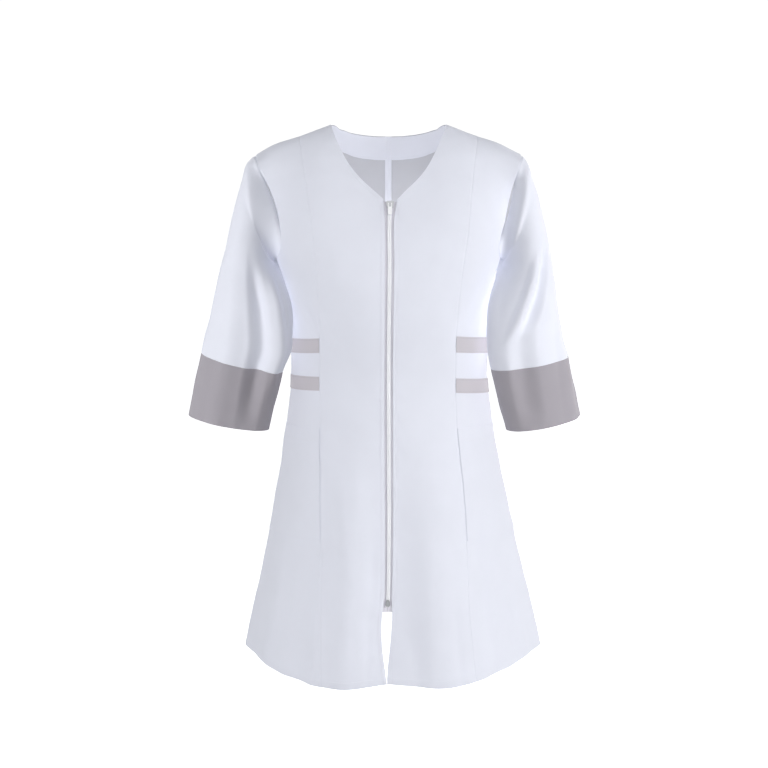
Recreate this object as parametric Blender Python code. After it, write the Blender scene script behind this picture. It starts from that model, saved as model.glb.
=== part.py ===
"""Nurse uniform dress, short tunic length, hollow and filled out as it is worn.

Metres, +Z up, the front faces -Y. The origin lies midway between the two points where the
shoulder seams meet the neck. Left and right are the wearer's own, so left is +X.
Lengths below are millimetres. "Drop" is the distance below the origin.
"""
import math
from functools import lru_cache

import bpy
import numpy as np

MM = 0.001

# Thicknesses and clearances
WALL = 1.5
CUFF_WALL = 1.8
TRIM_WALL = 1.1
TAPE_WALL = 0.9
GAP = 0.3
SEAM_HALF = 0.15
INNER_SETBACK = 0.3
ARMHOLE_SETBACK = 1.0

# Main places
BASE = 205.0
TIP_X = 205.5
NECK_X = 89.0
HEM = 840.0
NECK_DROP = 110.0
ZIP_END = 728.0
SLEEVE_SEAM = 330.0
CUFF_END = 425.0

# How much lower the front hem hangs, from the centre (0) to the side seam (1), by side
HEM_START = 700.0
HEM_ROWS = {
    # place, drop added
    -1: ((0.0, 2.5), (0.16, 6.5), (0.34, 8.5), (0.55, 4.5), (0.78, -2.5), (1.0, 0.0)),
    1: ((0.0, 2.5), (0.16, 4.0), (0.34, 5.5), (0.55, 2.0), (0.78, -5.0), (1.0, 0.0)),
}

# Counts of rows and columns
ARM_ROWS = 14
NECK_ROWS_USED = 8
LOWER_ROWS = 25
CENTRE_COLUMNS = 5
SIDE_COLUMNS = 6
BACK_COLUMNS = 12
SECTION_SAMPLES = 160

# One row for each section of the body.
BODY_ROWS = (
    # drop, half width, sideways shift, front depth, back depth,
    # front power, front root, back power, back root, hollow at centre front
    (205, 175.0, 0.0, 124.0, 101.0, 2.9, 0.50, 2.9, 0.50, 0.015),
    (240, 164.5, 0.0, 130.0, 100.0, 2.5, 0.50, 2.5, 0.50, 0.020),
    (290, 158.5, 0.0, 129.0, 96.0, 2.2, 0.52, 2.2, 0.52, 0.020),
    (340, 156.5, 1.5, 120.0, 91.0, 2.2, 0.54, 2.2, 0.54, 0.010),
    (385, 155.8, 1.2, 114.0, 88.0, 2.2, 0.56, 2.2, 0.55, 0.005),
    (433, 160.2, 1.9, 117.0, 95.0, 2.3, 0.60, 2.2, 0.58, 0.005),
    (498, 169.0, 2.2, 124.0, 108.0, 2.4, 0.66, 2.3, 0.62, 0.010),
    (564, 181.1, 3.8, 132.0, 122.0, 2.6, 0.72, 2.4, 0.68, 0.015),
    (630, 195.0, 5.2, 141.0, 134.0, 2.7, 0.78, 2.5, 0.74, 0.020),
    (697, 209.7, 6.1, 151.0, 145.0, 2.9, 0.83, 2.6, 0.78, 0.028),
    (765, 226.3, 7.0, 164.0, 155.0, 3.0, 0.88, 2.7, 0.82, 0.036),
    (840, 243.5, 7.9, 180.0, 163.0, 3.1, 0.92, 2.8, 0.86, 0.045),
)
HOLLOW_REACH = 0.34

# The line over the shoulder, and how the cloth leaves it in front and behind.
SHOULDER_ROWS = (
    # x, drop, y in front, y behind, front reach, front fall, back reach, back fall
    (0.0, -16.0, -26.0, 44.0, 62.0, 150.0, 70.0, 130.0),
    (45.0, -11.0, -15.0, 30.0, 90.0, 120.0, 100.0, 100.0),
    (89.0, 0.0, 0.0, 0.0, 150.0, 30.0, 150.0, 30.0),
    (138.0, 18.2, 0.0, 0.0, 155.0, 32.0, 155.0, 32.0),
    (178.0, 31.4, 0.0, 0.0, 215.0, 50.0, 215.0, 50.0),
    (205.5, 46.0, 0.0, 0.0, 300.0, 60.0, 300.0, 60.0),
)

# Front neckline and back neckline, for the wearer's left; the right is its mirror image.
NECKLINE_ROWS = (
    # drop, x
    (0.0, 89.0),
    (10.0, 85.0),
    (38.5, 71.8),
    (57.0, 61.5),
    (72.0, 50.5),
    (84.5, 38.5),
    (95.5, 26.0),
    (110.0, 10.8),
)
BACK_NECK_ROWS = (
    # x, drop
    (0.0, 19.0),
    (25.0, 18.0),
    (50.0, 14.6),
    (70.0, 9.6),
    (83.0, 4.0),
    (89.0, 0.0),
)
# Where the back neck's edge has its columns, and the rows and columns that the facing covers
BACK_NECK_COLUMNS = (0.0, 22.0, 42.0, 60.0, 76.0)
FACING_LEVELS = (0.07, 1.0, 2.0, 3.0)
FACING_COLUMNS = (-7, -6, -5, -4, -3, -2, -1, 0, 1, 2, 3, 4, 5, 6, 7)
FACING_GAP = 0.45

# Half the zip opening between the front edges, down to the slit and the hem.
ZIP_ROWS = (
    # drop, x of the middle, half width of the opening
    (108.0, 2.4, 10.8),
    (120.0, 2.0, 9.2),
    (134.0, 1.4, 7.6),
    (198.0, 1.4, 7.2),
    (334.0, 0.2, 6.4),
    (488.0, 0.4, 6.6),
    (640.0, 0.6, 6.2),
    (715.0, -0.8, 6.2),
    (735.0, -2.1, 7.4),
    (760.0, -3.2, 7.4),
    (790.0, -3.8, 5.2),
    (820.0, -3.3, 1.7),
    (840.0, -2.3, 0.3),
)

# Princess seams, and the front and back of the armholes.
PRINCESS_ROWS = (
    # drop, x on the wearer's right, x on the wearer's left
    (19.0, 137.0, 137.0),
    (60.0, 129.5, 130.0),
    (100.0, 122.5, 125.0),
    (157.0, 115.0, 119.0),
    (205.0, 109.5, 112.5),
    (260.0, 106.5, 106.0),
    (320.0, 105.4, 101.8),
    (403.0, 105.8, 102.0),
    (456.0, 105.5, 103.5),
    (580.0, 105.2, 112.0),
    (672.0, 105.0, 116.0),
    (749.0, 104.9, 121.0),
    (840.0, 104.7, 132.0),
)
ARMHOLE_ROWS = (
    # drop, x in front on the wearer's right, x in front on the left, x behind
    (46.0, 205.5, 205.5, 205.5),
    (67.0, 196.3, 198.0, 196.0),
    (97.0, 181.5, 188.6, 183.0),
    (125.0, 170.5, 183.0, 174.5),
    (150.0, 165.8, 177.5, 169.5),
    (172.0, 164.5, 171.5, 167.5),
    (188.0, 166.0, 169.5, 168.0),
    (198.0, 169.5, 170.5, 170.5),
    (205.0, 175.0, 175.0, 175.0),
)

# Soft folds of the skirt: side is 1 for the wearer's left, -1 for the right.
SKIRT_FOLDS = (
    # side, behind, place from centre to side seam, half width, start drop, full drop, height
    (-1, 0, 0.20, 0.10, 430.0, 760.0, 4.0),
    (-1, 0, 0.47, 0.09, 520.0, 840.0, -4.0),
    (-1, 0, 0.72, 0.13, 560.0, 840.0, 3.5),
    (1, 0, 0.24, 0.12, 470.0, 780.0, 3.5),
    (1, 0, 0.55, 0.10, 520.0, 840.0, -3.5),
    (1, 0, 0.76, 0.12, 600.0, 840.0, 3.0),
    (-1, 1, 0.30, 0.14, 470.0, 820.0, 5.0),
    (-1, 1, 0.62, 0.12, 520.0, 840.0, -5.0),
    (1, 1, 0.26, 0.13, 480.0, 820.0, 4.5),
    (1, 1, 0.58, 0.12, 530.0, 840.0, -5.0),
)

# Sleeves: the ends of the flattened section at each station along the sleeve.
SLEEVE_ROWS = {
    -1: (
        # station, outer x, y, drop, inner x, y, drop, depth in front, depth behind
        (14.0, 215.5, -2.0, 55.0, 176.5, -3.0, 207.0, 60.0, 62.0),
        (40.0, 225.0, -6.0, 83.0, 175.5, -12.0, 213.0, 57.0, 60.0),
        (85.0, 237.0, -11.0, 130.0, 172.0, -27.0, 224.0, 52.0, 54.0),
        (135.0, 249.5, -15.0, 186.0, 164.0, -45.0, 244.0, 46.0, 45.0),
        (190.0, 264.0, -19.0, 240.0, 154.0, -62.0, 276.0, 42.0, 38.0),
        (245.0, 277.5, -23.0, 296.0, 149.0, -69.0, 318.0, 40.0, 36.0),
        (285.0, 286.0, -26.0, 326.0, 151.0, -68.0, 345.0, 39.0, 36.0),
        (330.0, 291.5, -28.0, 350.0, 163.5, -66.0, 377.0, 38.0, 36.0),
        (380.0, 303.5, -32.0, 400.0, 175.5, -68.0, 423.0, 38.0, 36.0),
        (425.0, 313.0, -36.0, 446.5, 185.5, -72.0, 466.0, 38.0, 36.0),
    ),
    1: (
        (14.0, 213.0, -2.0, 55.0, 176.5, -3.0, 207.0, 62.0, 62.0),
        (40.0, 222.0, -6.0, 83.0, 176.0, -12.0, 213.0, 58.0, 60.0),
        (85.0, 234.0, -10.0, 130.0, 174.5, -26.0, 224.0, 54.0, 54.0),
        (135.0, 244.5, -13.0, 186.0, 168.5, -44.0, 243.0, 49.0, 45.0),
        (190.0, 254.0, -15.0, 240.0, 159.5, -62.0, 275.0, 46.0, 38.0),
        (245.0, 262.5, -16.0, 296.0, 154.0, -73.0, 314.0, 44.0, 36.0),
        (285.0, 269.5, -17.0, 326.0, 154.0, -76.0, 340.0, 43.0, 36.0),
        (330.0, 278.0, -18.0, 354.5, 160.0, -78.0, 371.0, 42.0, 36.0),
        (380.0, 288.0, -20.0, 401.5, 171.5, -80.0, 419.5, 42.0, 36.0),
        (425.0, 298.0, -22.0, 446.5, 184.5, -82.0, 465.0, 42.0, 36.0),
    ),
}
SLEEVE_FOLDS = (
    # side, turn at the start, turn at the end, half width, start, end, height
    (-1, 92.0, 84.0, 15.0, 120.0, 325.0, -5.0),
    (-1, 120.0, 116.0, 14.0, 105.0, 320.0, 4.0),
    (-1, 148.0, 150.0, 14.0, 110.0, 320.0, -4.0),
    (1, 66.0, 100.0, 15.0, 120.0, 300.0, 3.5),
    (1, 96.0, 74.0, 15.0, 170.0, 325.0, -4.5),
    (1, 150.0, 146.0, 15.0, 110.0, 320.0, -4.0),
    (-1, 262.0, 272.0, 20.0, 130.0, 320.0, -4.0),
    (1, 270.0, 262.0, 20.0, 130.0, 320.0, -4.0),
)
SLEEVE_STATIONS = (0.0, 6.0, 16.0, 32.0, 55.0, 80.0, 108.0, 136.0, 164.0, 192.0, 220.0, 248.0,
                   276.0, 302.0, SLEEVE_SEAM)
SLEEVE_CLEAR = 2.2
CUFF_STATIONS = (SLEEVE_SEAM, 362.0, 394.0, CUFF_END)

# Grey strips and pockets on the side fronts: drops of the top and bottom edge at each end.
STRIP_ROWS = (
    # name, side, top at princess seam, bottom there, top at side seam, bottom there
    ("waist_strip_upper_right", -1, 320.0, 342.6, 332.0, 354.5),
    ("waist_strip_lower_right", -1, 380.5, 402.2, 389.5, 411.5),
    ("waist_strip_upper_left", 1, 316.5, 341.6, 330.5, 355.5),
    ("waist_strip_lower_left", 1, 382.6, 405.0, 396.5, 419.0),
)
POCKET_ROWS = (
    # name, side, top at princess seam, bottom there, top at side seam, bottom there
    ("pocket_right", -1, 460.0, 632.0, 468.0, 642.0),
    ("pocket_left", 1, 460.0, 632.0, 468.0, 642.0),
)
STRIP_MARGIN = 0.05
POCKET_MARGIN = 0.09
POCKET_ROWS_OF_POINTS = 7

# Zip tape, slider, pull tab and stop
TAPE_GAP = 0.6
TAPE_INNER = 0.35
TAPE_OUTER = 15.0
TAPE_TOP = 114.0
TAPE_LAST_ROW = 5.0
SLIDER_DROP = 119.0
SLIDER_WIDTH = 11.4
SLIDER_FOOT = 9.0
SLIDER_LENGTH = 12.0
SLIDER_CORNER = 1.6
METAL_JOIN = 0.4
PLATE_BASE = 0.9
PLATE_TOP = 3.1
FLANGE_WIDTH = 1.4
FLANGE_BASE = -1.3
FLANGE_INSET = 0.05
BRIDGE_WIDTH = 2.4
BRIDGE_WALL = 1.0
BRIDGE_CORNER = 0.8
BRIDGE_START = -4.6
BRIDGE_END = 2.6
BRIDGE_OPENING = 1.9
PIVOT_ALONG = -2.0
PIVOT_ABOVE = 0.95
BAR_RADIUS = 0.5
PULL_WIDTH = 6.0
PULL_EYE_WIDTH = 3.6
PULL_THICK = 1.0
PULL_EYE_END = 5.6
PULL_END = 18.0
PULL_CORNER = 1.6
ARM_OVERLAP = 2.0
STOP_DROP = 720.0
STOP_WIDTH = 7.0
STOP_LENGTH = 10.0
STOP_BASE = -1.3
STOP_TOP = 1.4
STOP_TAPER = 1.8
STOP_NECK = 3.0
STOP_CORNER = 1.2


def spline(rows, at):
    """A smooth curve through a table whose first column is the place."""
    table = np.asarray(rows, float)
    key = table[:, 0]
    value = table[:, 1:]
    step = np.diff(key)[:, None]
    chord = np.diff(value, axis=0) / step
    slope = np.empty_like(value)
    slope[1:-1] = (chord[:-1] * step[1:] + chord[1:] * step[:-1]) / (step[:-1] + step[1:])
    slope[0] = chord[0]
    slope[-1] = chord[-1]
    at = np.clip(np.asarray(at, float), key[0], key[-1])
    left = np.clip(np.searchsorted(key, at, side="right") - 1, 0, len(key) - 2)
    width = key[left + 1] - key[left]
    t = ((at - key[left]) / width)[..., None]
    width = width[..., None]
    start = value[left] * (1 + 2 * t) * (1 - t) ** 2 + slope[left] * width * t * (1 - t) ** 2
    end = value[left + 1] * t * t * (3 - 2 * t) + slope[left + 1] * width * t * t * (t - 1)
    return start + end


def bump(distance):
    """1 in the middle and 0 from a distance of 1, smooth."""
    inside = np.clip(1 - np.asarray(distance, float) ** 2, 0, 1)
    return inside * inside


def ramp(at, start, end):
    t = np.clip((at - start) / (end - start), 0, 1)
    return t * t * (3 - 2 * t)


def unit(vector):
    vector = np.asarray(vector, float)
    return vector / np.maximum(np.linalg.norm(vector, axis=-1, keepdims=True), 1e-12)


@lru_cache(maxsize=None)
def section(drop, behind, side):
    """Half of a body section: fraction of its length, x before the shift, and y."""
    row = spline(BODY_ROWS, drop)
    half, _, front, back, front_power, front_root, back_power, back_root, hollow = row
    turn = np.linspace(0, math.pi / 2, SECTION_SAMPLES)
    place = np.sin(turn)
    if behind:
        depth = back * (1 - place ** back_power) ** back_root
    else:
        depth = -front * (1 - place ** front_power) ** front_root
        depth *= 1 - hollow * np.clip(1 - place / HOLLOW_REACH, 0, 1) ** 2
    x = half * place
    y = depth
    along = np.concatenate([[0], np.cumsum(np.hypot(np.diff(x), np.diff(y)))])
    along /= along[-1]
    away = np.zeros_like(x)
    for fold_side, fold_behind, middle, width, start, full, height in SKIRT_FOLDS:
        if fold_side == side and fold_behind == behind and drop > start:
            away += height * bump((along - middle) / width) * ramp(drop, start, full)
    out = unit(np.stack([x / half ** 2, y / (back if behind else front) ** 2], -1))
    x = x + away * out[:, 0]
    y = y + away * out[:, 1]
    along = np.concatenate([[0], np.cumsum(np.hypot(np.diff(x), np.diff(y)))])
    return along / along[-1], x, y


def section_point(a, drop, behind, side):
    along, x, y = section(round(float(drop), 4), behind, side)
    return np.array([np.interp(a, along, x), np.interp(a, along, y), -drop])


def body(a, d, behind, side):
    """A point of the body cloth: a from the centre (0) to the side (1), d downwards.

    It is given for the wearer's left; mirrored() turns it to its own side.
    """
    if a < 0:
        point = body(-a, d, behind, -side)
        return point * np.array([-1, 1, 1])
    if d >= BASE:
        return section_point(a, d, behind, side)
    x, drop, y_front, y_back, reach_f, fall_f, reach_b, fall_b = (
        (TIP_X * a,) + tuple(spline(SHOULDER_ROWS, TIP_X * a)))
    if behind:
        start = np.array([x, max(y_back, 0) if x < NECK_X else 0, -drop])
        leave = np.array([0, reach_b, -fall_b])
    else:
        start = np.array([x, min(y_front, 0) if x < NECK_X else 0, -drop])
        leave = np.array([0, -reach_f, -fall_f])
    end = section_point(a, BASE, behind, side)
    arrive = (section_point(a, BASE + 2, behind, side) - end) * BASE / 2
    t = d / BASE
    return (start * (1 + 2 * t) * (1 - t) ** 2 + leave * t * (1 - t) ** 2
            + end * t * t * (3 - 2 * t) + arrive * t * t * (t - 1))


def find(x, drop, behind, side):
    """The place (a, d) of the body point that has this x and drop."""
    if drop >= BASE:
        along, xs, _ = section(round(float(drop), 4), behind, side)
        if x < 0:
            along, xs, _ = section(round(float(drop), 4), behind, -side)
            return np.array([-np.interp(-x, xs, along), drop])
        return np.array([np.interp(x, xs, along), drop])
    place = np.array([min(x / TIP_X, 0.98), max(drop, 4.0)])
    for _ in range(30):
        here = body(place[0], place[1], behind, side)
        miss = np.array([here[0] - x, -here[2] - drop])
        if np.abs(miss).max() < 1e-5:
            break
        by_a = (body(place[0] + 1e-4, place[1], behind, side) - here) / 1e-4
        by_d = (body(place[0], place[1] + 1e-2, behind, side) - here) / 1e-2
        slope = np.array([[by_a[0], by_d[0]], [-by_a[2], -by_d[2]]])
        change = np.linalg.solve(slope, miss)
        change = np.clip(change, [-0.1, -25], [0.1, 25])
        place = place - change
        place[0] = np.clip(place[0], -0.2, 0.9995)
        place[1] = np.clip(place[1], 0, BASE - 0.01)
    return place


def mirrored(points, side):
    """Body points moved to their own side, with the sideways shift of the section."""
    points = np.array(points, float)
    row = spline(BODY_ROWS, np.maximum(-points[..., 2], BASE))
    half = row[..., 0]
    shift = row[..., 1]
    points[..., 0] = side * points[..., 0] + shift * (points[..., 0] / half) ** 2
    return points


def outward(a, d, behind, side):
    """Outward direction of the body cloth at a place, on its own side."""
    a_low = min(a, 0.999)
    a_high = a_low + 0.001
    d_low = max(d - 0.5, 0)
    at = mirrored([body(a_low, d, behind, side), body(a_high, d, behind, side),
                   body(a, d_low, behind, side), body(a, d_low + 1.0, behind, side)], side)
    direction = np.cross(at[3] - at[2], at[1] - at[0])
    return unit(direction * side * (-1 if behind else 1))


def seam_direction(a, d, behind, side):
    """The direction shared by both walls where front and back meet."""
    own = outward(a, d, behind, side)
    if d <= 0.01 or a >= 0.9989:
        both = unit(own + outward(a, d, 1 - behind, side))
        return both / max(float(both @ own), 0.5)
    return own


def drop_rows():
    """Rows shared by all panels below the underarm."""
    return [float(d) for d in np.linspace(BASE, HEM, LOWER_ROWS + 1)]


def hem_d(d, a, side):
    """The front hem isn't level: it hangs lower beside the centre than at the sides."""
    extra = float(spline(HEM_ROWS[side], a)[0])
    return d + extra * ramp(d, HEM_START, HEM)


def edge_places(table, column, drops, behind, side):
    places = []
    for drop in drops:
        x = float(spline(table, drop)[column])
        places.append(find(x, drop, behind, side))
    return places


def even_drops(table, column, start, end, count):
    """Drops that divide an edge curve into equal lengths."""
    fine = np.linspace(start, end, 200)
    x = spline(table, fine)[:, column]
    along = np.concatenate([[0], np.cumsum(np.hypot(np.diff(x), np.diff(fine)))])
    return np.interp(np.linspace(0, along[-1], count + 1), along, fine)


def neckline_places(side):
    drops = even_drops(NECKLINE_ROWS, 0, 0.0, NECK_DROP, NECK_ROWS_USED)
    middle = float(spline(ZIP_ROWS, NECK_DROP)[0])
    places = []
    for drop in drops:
        x = float(spline(NECKLINE_ROWS, drop)[0]) + side * middle * (drop / NECK_DROP) ** 2
        if drop < 0.01:
            places.append(np.array([NECK_X / TIP_X, 0.0]))
        else:
            places.append(find(x, float(drop), 0, side))
    return places


def zip_edge(drop, side):
    middle, half = spline(ZIP_ROWS, drop)
    return side * middle + half


def zip_edge_places(side, drops):
    return [find(zip_edge(drop, side), float(drop), 0, side) for drop in drops]


def princess_places(side, drops):
    column = 0 if side < 0 else 1
    return edge_places(PRINCESS_ROWS, column, drops, 0, side)


@lru_cache(maxsize=None)
def upper_princess(side):
    """Places on the princess seam from the shoulder down to the underarm row."""
    column = 0 if side < 0 else 1
    top_a = float(spline(PRINCESS_ROWS, 19.0)[column]) / TIP_X
    drops = even_drops(PRINCESS_ROWS, column, 19.0, BASE, ARM_ROWS)
    places = [np.array([top_a, 0.0])]
    for drop in drops[1:]:
        places.append(princess_places(side, [float(drop)])[0])
    return places


@lru_cache(maxsize=None)
def armhole_places(side, behind):
    column = 2 if behind else (0 if side < 0 else 1)
    drops = even_drops(ARMHOLE_ROWS, column, 46.0, BASE, ARM_ROWS)
    places = [np.array([1.0, 0.0])]
    for drop in drops[1:-1]:
        x = float(spline(ARMHOLE_ROWS, drop)[column])
        places.append(find(x, float(drop), behind, side))
    places.append(np.array([1.0, BASE]))
    return places


def panel_places(upper_in, upper_out, top, lower_in, lower_out, columns):
    """Places of a panel's points, row by row."""
    share = np.linspace(0, 1, columns + 1)
    rows = []
    last = len(upper_in) - 1
    bottom_in = upper_in[last]
    bottom_out = upper_out[last]
    for j in range(last + 1):
        v = j / last
        row = []
        for i, u in enumerate(share):
            flat = bottom_in * (1 - u) + bottom_out * u
            across = upper_in[j] * (1 - u) + upper_out[j] * u
            corner = ((top[0] * (1 - u) + top[-1] * u) * (1 - v) + flat * v)
            row.append(across + top[i] * (1 - v) + flat * v - corner)
        rows.append(row)
    for inner, outer in zip(lower_in[1:], lower_out[1:]):
        rows.append([inner * (1 - u) + outer * u for u in share])
    return np.array(rows)


def place_grid(places, behind, side):
    """Points and wall directions for a grid of places."""
    points = np.empty(places.shape[:2] + (3,))
    out = np.empty_like(points)
    for j in range(places.shape[0]):
        for i in range(places.shape[1]):
            a, d = places[j, i]
            if not behind:
                d = hem_d(d, abs(a), side)
            points[j, i] = body(a, d, behind, side)
            out[j, i] = seam_direction(a, d, behind, side)
    return mirrored(points, side), out


def set_back(points, edge, amount):
    """Move one edge of a grid into its own piece."""
    grid = points.copy()
    if edge == "left":
        grid[:, 0] += unit(points[:, 1] - points[:, 0]) * np.reshape(amount, (-1, 1))
    elif edge == "right":
        grid[:, -1] += unit(points[:, -2] - points[:, -1]) * np.reshape(amount, (-1, 1))
    elif edge == "top":
        grid[0] += unit(points[1] - points[0]) * amount
    else:
        grid[-1] += unit(points[-2] - points[-1]) * amount
    return grid


def sheet_mesh(outer, inner, turned=0):
    """A closed wall between two grids of the same size.

    Each square is cut along the same diagonal as the panel's that it lies on; the first
    columns, up to turned, are on the mirrored panel.
    """
    rows, columns = outer.shape[:2]
    points = np.concatenate([outer.reshape(-1, 3), inner.reshape(-1, 3)])
    back = rows * columns

    def at(j, i):
        return j * columns + i

    faces = []
    for j in range(rows - 1):
        for i in range(columns - 1):
            ring = [at(j, i), at(j + 1, i), at(j + 1, i + 1), at(j, i + 1)]
            if i < turned:
                ring = ring[1:] + ring[:1]
            for half in ([ring[0], ring[1], ring[2]], [ring[0], ring[2], ring[3]]):
                faces.append(half)
                faces.append([back + k for k in reversed(half)])
    rim = [at(j, 0) for j in range(rows)]
    rim += [at(rows - 1, i) for i in range(1, columns)]
    rim += [at(j, columns - 1) for j in range(rows - 2, -1, -1)]
    rim += [at(0, i) for i in range(columns - 2, 0, -1)]
    for k, first in enumerate(rim):
        second = rim[(k + 1) % len(rim)]
        faces.append([second, first, back + first, back + second])
    return points, faces


def tube_mesh(outer, inner):
    """A closed wall between two tubes, whose columns go once round."""
    rows, columns = outer.shape[:2]
    points = np.concatenate([outer.reshape(-1, 3), inner.reshape(-1, 3)])
    back = rows * columns
    faces = []
    for i in range(columns):
        k = (i + 1) % columns
        for j in range(rows - 1):
            quad = [j * columns + i, (j + 1) * columns + i, (j + 1) * columns + k,
                    j * columns + k]
            faces.append(quad)
            faces.append([back + n for n in reversed(quad)])
        faces.append([i, k, back + k, back + i])
        low = (rows - 1) * columns
        faces.append([low + k, low + i, back + low + i, back + low + k])
    return points, faces


def material(name, colour, roughness, metallic=0.0):
    made = bpy.data.materials.new(name)
    made.use_nodes = True
    shader = made.node_tree.nodes["Principled BSDF"]
    shader.inputs["Base Color"].default_value = (*colour, 1.0)
    shader.inputs["Roughness"].default_value = roughness
    shader.inputs["Metallic"].default_value = metallic
    made.diffuse_color = (*colour, 1.0)
    return made


def add_object(name, points, faces, made, smooth=True, origin=(0.0, 0.0, 0.0)):
    """A named object from points in millimetres, its faces turned outwards."""
    mesh = bpy.data.meshes.new(name)
    local = (np.asarray(points) - np.asarray(origin)) * MM
    mesh.from_pydata([tuple(map(float, p)) for p in local], [], faces)
    mesh.validate()
    volume = 0.0
    for face in mesh.polygons:
        ring = [local[v] for v in face.vertices]
        for k in range(1, len(ring) - 1):
            volume += float(np.dot(ring[0], np.cross(ring[k], ring[k + 1])))
    if volume < 0:
        mesh.flip_normals()
    mesh.polygons.foreach_set("use_smooth", [smooth] * len(mesh.polygons))
    mesh.materials.append(made)
    mesh.update()
    thing = bpy.data.objects.new(name, mesh)
    thing.location = tuple(float(c) * MM for c in origin)
    bpy.context.scene.collection.objects.link(thing)
    return thing


def wall(name, places, behind, side, made, edges):
    """A panel from its places; edges gives the inner edge's extra set-back."""
    outer, out = place_grid(places, behind, side)
    inner = outer - out * WALL
    for edge, extra in edges.items():
        outer_next = set_back(outer, edge, SEAM_HALF)
        inner = set_back(inner, edge, SEAM_HALF + np.asarray(extra))
        outer = outer_next
    points, faces = sheet_mesh(outer, inner)
    add_object(name, points, faces, made)
    return place_grid(places, behind, side)


def make_fronts(side, made):
    lower = drop_rows()
    top_share = np.linspace(0, 1, CENTRE_COLUMNS + 1)[:, None]
    neck = neckline_places(side)
    zip_drops = np.linspace(NECK_DROP, BASE, ARM_ROWS - NECK_ROWS_USED + 1)[1:]
    upper_in = neck + zip_edge_places(side, zip_drops)
    princess = upper_princess(side)
    top = list(neck[0] * (1 - top_share) + princess[0] * top_share)
    lower_princess = princess_places(side, lower)
    centre = panel_places(upper_in, princess, top, zip_edge_places(side, lower),
                          lower_princess, CENTRE_COLUMNS)
    name = "left" if side > 0 else "right"
    extra = np.full(centre.shape[0], INNER_SETBACK)
    wall("front_centre_" + name, centre, 0, side, made,
         {"right": extra, "top": INNER_SETBACK})
    side_share = np.linspace(0, 1, SIDE_COLUMNS + 1)[:, None]
    tip = np.array([1.0, 0.0])
    top = list(princess[0] * (1 - side_share) + tip * side_share)
    seam = [np.array([1.0, d]) for d in lower]
    side_places = panel_places(princess, armhole_places(side, 0), top, lower_princess,
                               seam, SIDE_COLUMNS)
    outer_extra = np.where(np.arange(side_places.shape[0]) <= ARM_ROWS, ARMHOLE_SETBACK,
                           INNER_SETBACK)
    return wall("front_side_" + name, side_places, 0, side, made,
                {"left": extra, "right": outer_extra, "top": INNER_SETBACK})


def make_back(side, made):
    lower = drop_rows()
    neck_drop = float(spline(BACK_NECK_ROWS, 0.0)[0])
    top = [find(x, float(spline(BACK_NECK_ROWS, x)[0]), 1, side) for x in BACK_NECK_COLUMNS]
    shoulder = np.linspace(NECK_X, TIP_X, BACK_COLUMNS - len(BACK_NECK_COLUMNS) + 1)
    top += [np.array([x / TIP_X, 0.0]) for x in shoulder]
    centre_drops = np.linspace(neck_drop, BASE, ARM_ROWS + 1)
    upper_in = [top[0]] + [find(0.0, float(d), 1, side) for d in centre_drops[1:]]
    centre = [np.array([0.0, d]) for d in lower]
    seam = [np.array([1.0, d]) for d in lower]
    places = panel_places(upper_in, armhole_places(side, 1), top, centre, seam, BACK_COLUMNS)
    name = "left" if side > 0 else "right"
    extra = np.full(places.shape[0], INNER_SETBACK)
    outer_extra = np.where(np.arange(places.shape[0]) <= ARM_ROWS, ARMHOLE_SETBACK,
                           INNER_SETBACK)
    return wall("back_" + name, places, 1, side, made,
                {"left": extra, "right": outer_extra, "top": INNER_SETBACK})


def sleeve_ring(row, side, turns):
    """One section of the sleeve at every turn, for the wearer's left before mirroring."""
    _, ox, oy, od, ix, iy, idrop, front, behind = row
    outer = np.array([ox, oy, -od])
    inner = np.array([ix, iy, -idrop])
    middle = (outer + inner) / 2
    half = (outer - inner) / 2
    facing = unit(np.array([-half[1], half[0], 0.0]))
    if facing[1] > 0:
        facing = -facing
    depth = np.where(np.sin(turns) > 0, front, behind)
    return (middle + np.cos(turns)[:, None] * half
            + (np.sin(turns) * depth)[:, None] * facing)


def clear_of_body(point, side, clearance):
    """Move a sleeve point outwards until it clears the body cloth."""
    drop = -point[2]
    if drop < BASE or clearance <= 0:
        return point
    x = side * point[0]
    y = point[1]
    _, xs, ys = section(round(float(drop), 1), int(y > 0), side)
    turn = math.atan2(x, abs(y))
    reach = np.interp(turn, np.arctan2(xs, np.abs(ys)), np.hypot(xs, ys)) + clearance
    here = math.hypot(x, y)
    if here >= reach:
        return point
    return point * np.array([reach / here, reach / here, 1])


def sleeve_grid(side, stations):
    """Outer points of a sleeve at the given stations, and its wall directions."""
    front = place_points(armhole_places(side, 0), 0, side)
    back = place_points(armhole_places(side, 1), 1, side)
    loop = np.concatenate([front, back[-2:0:-1]])
    count = len(loop)
    turns = np.linspace(0, 2 * math.pi, count, endpoint=False)
    flip = np.array([side, 1, 1])
    rings = [loop]
    keys = [0.0]
    for row in SLEEVE_ROWS[side]:
        rings.append(sleeve_ring(row, side, turns) * flip)
        keys.append(row[0])
    table = np.concatenate([np.array(keys)[:, None],
                            np.array(rings).reshape(len(rings), -1)], axis=1)
    grid = spline(table, np.asarray(stations)).reshape(len(stations), count, 3)
    for j, station in enumerate(stations):
        for i in range(count):
            grid[j, i] = clear_of_body(grid[j, i], side, SLEEVE_CLEAR * ramp(station, 0, 30))
    out = tube_directions(grid, side)
    degrees = np.degrees(turns)
    for fold_side, turn_a, turn_b, width, start, end, height in SLEEVE_FOLDS:
        if fold_side != side:
            continue
        for j, station in enumerate(stations):
            t = (station - start) / (end - start)
            if 0 < t < 1:
                centre = turn_a + (turn_b - turn_a) * t
                push = height * bump((degrees - centre) / width) * bump(2 * t - 1)
                grid[j] += out[j] * push[:, None]
    return grid, tube_directions(grid, side)


def place_points(places, behind, side):
    return mirrored([body(a, d, behind, side) for a, d in places], side)


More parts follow.
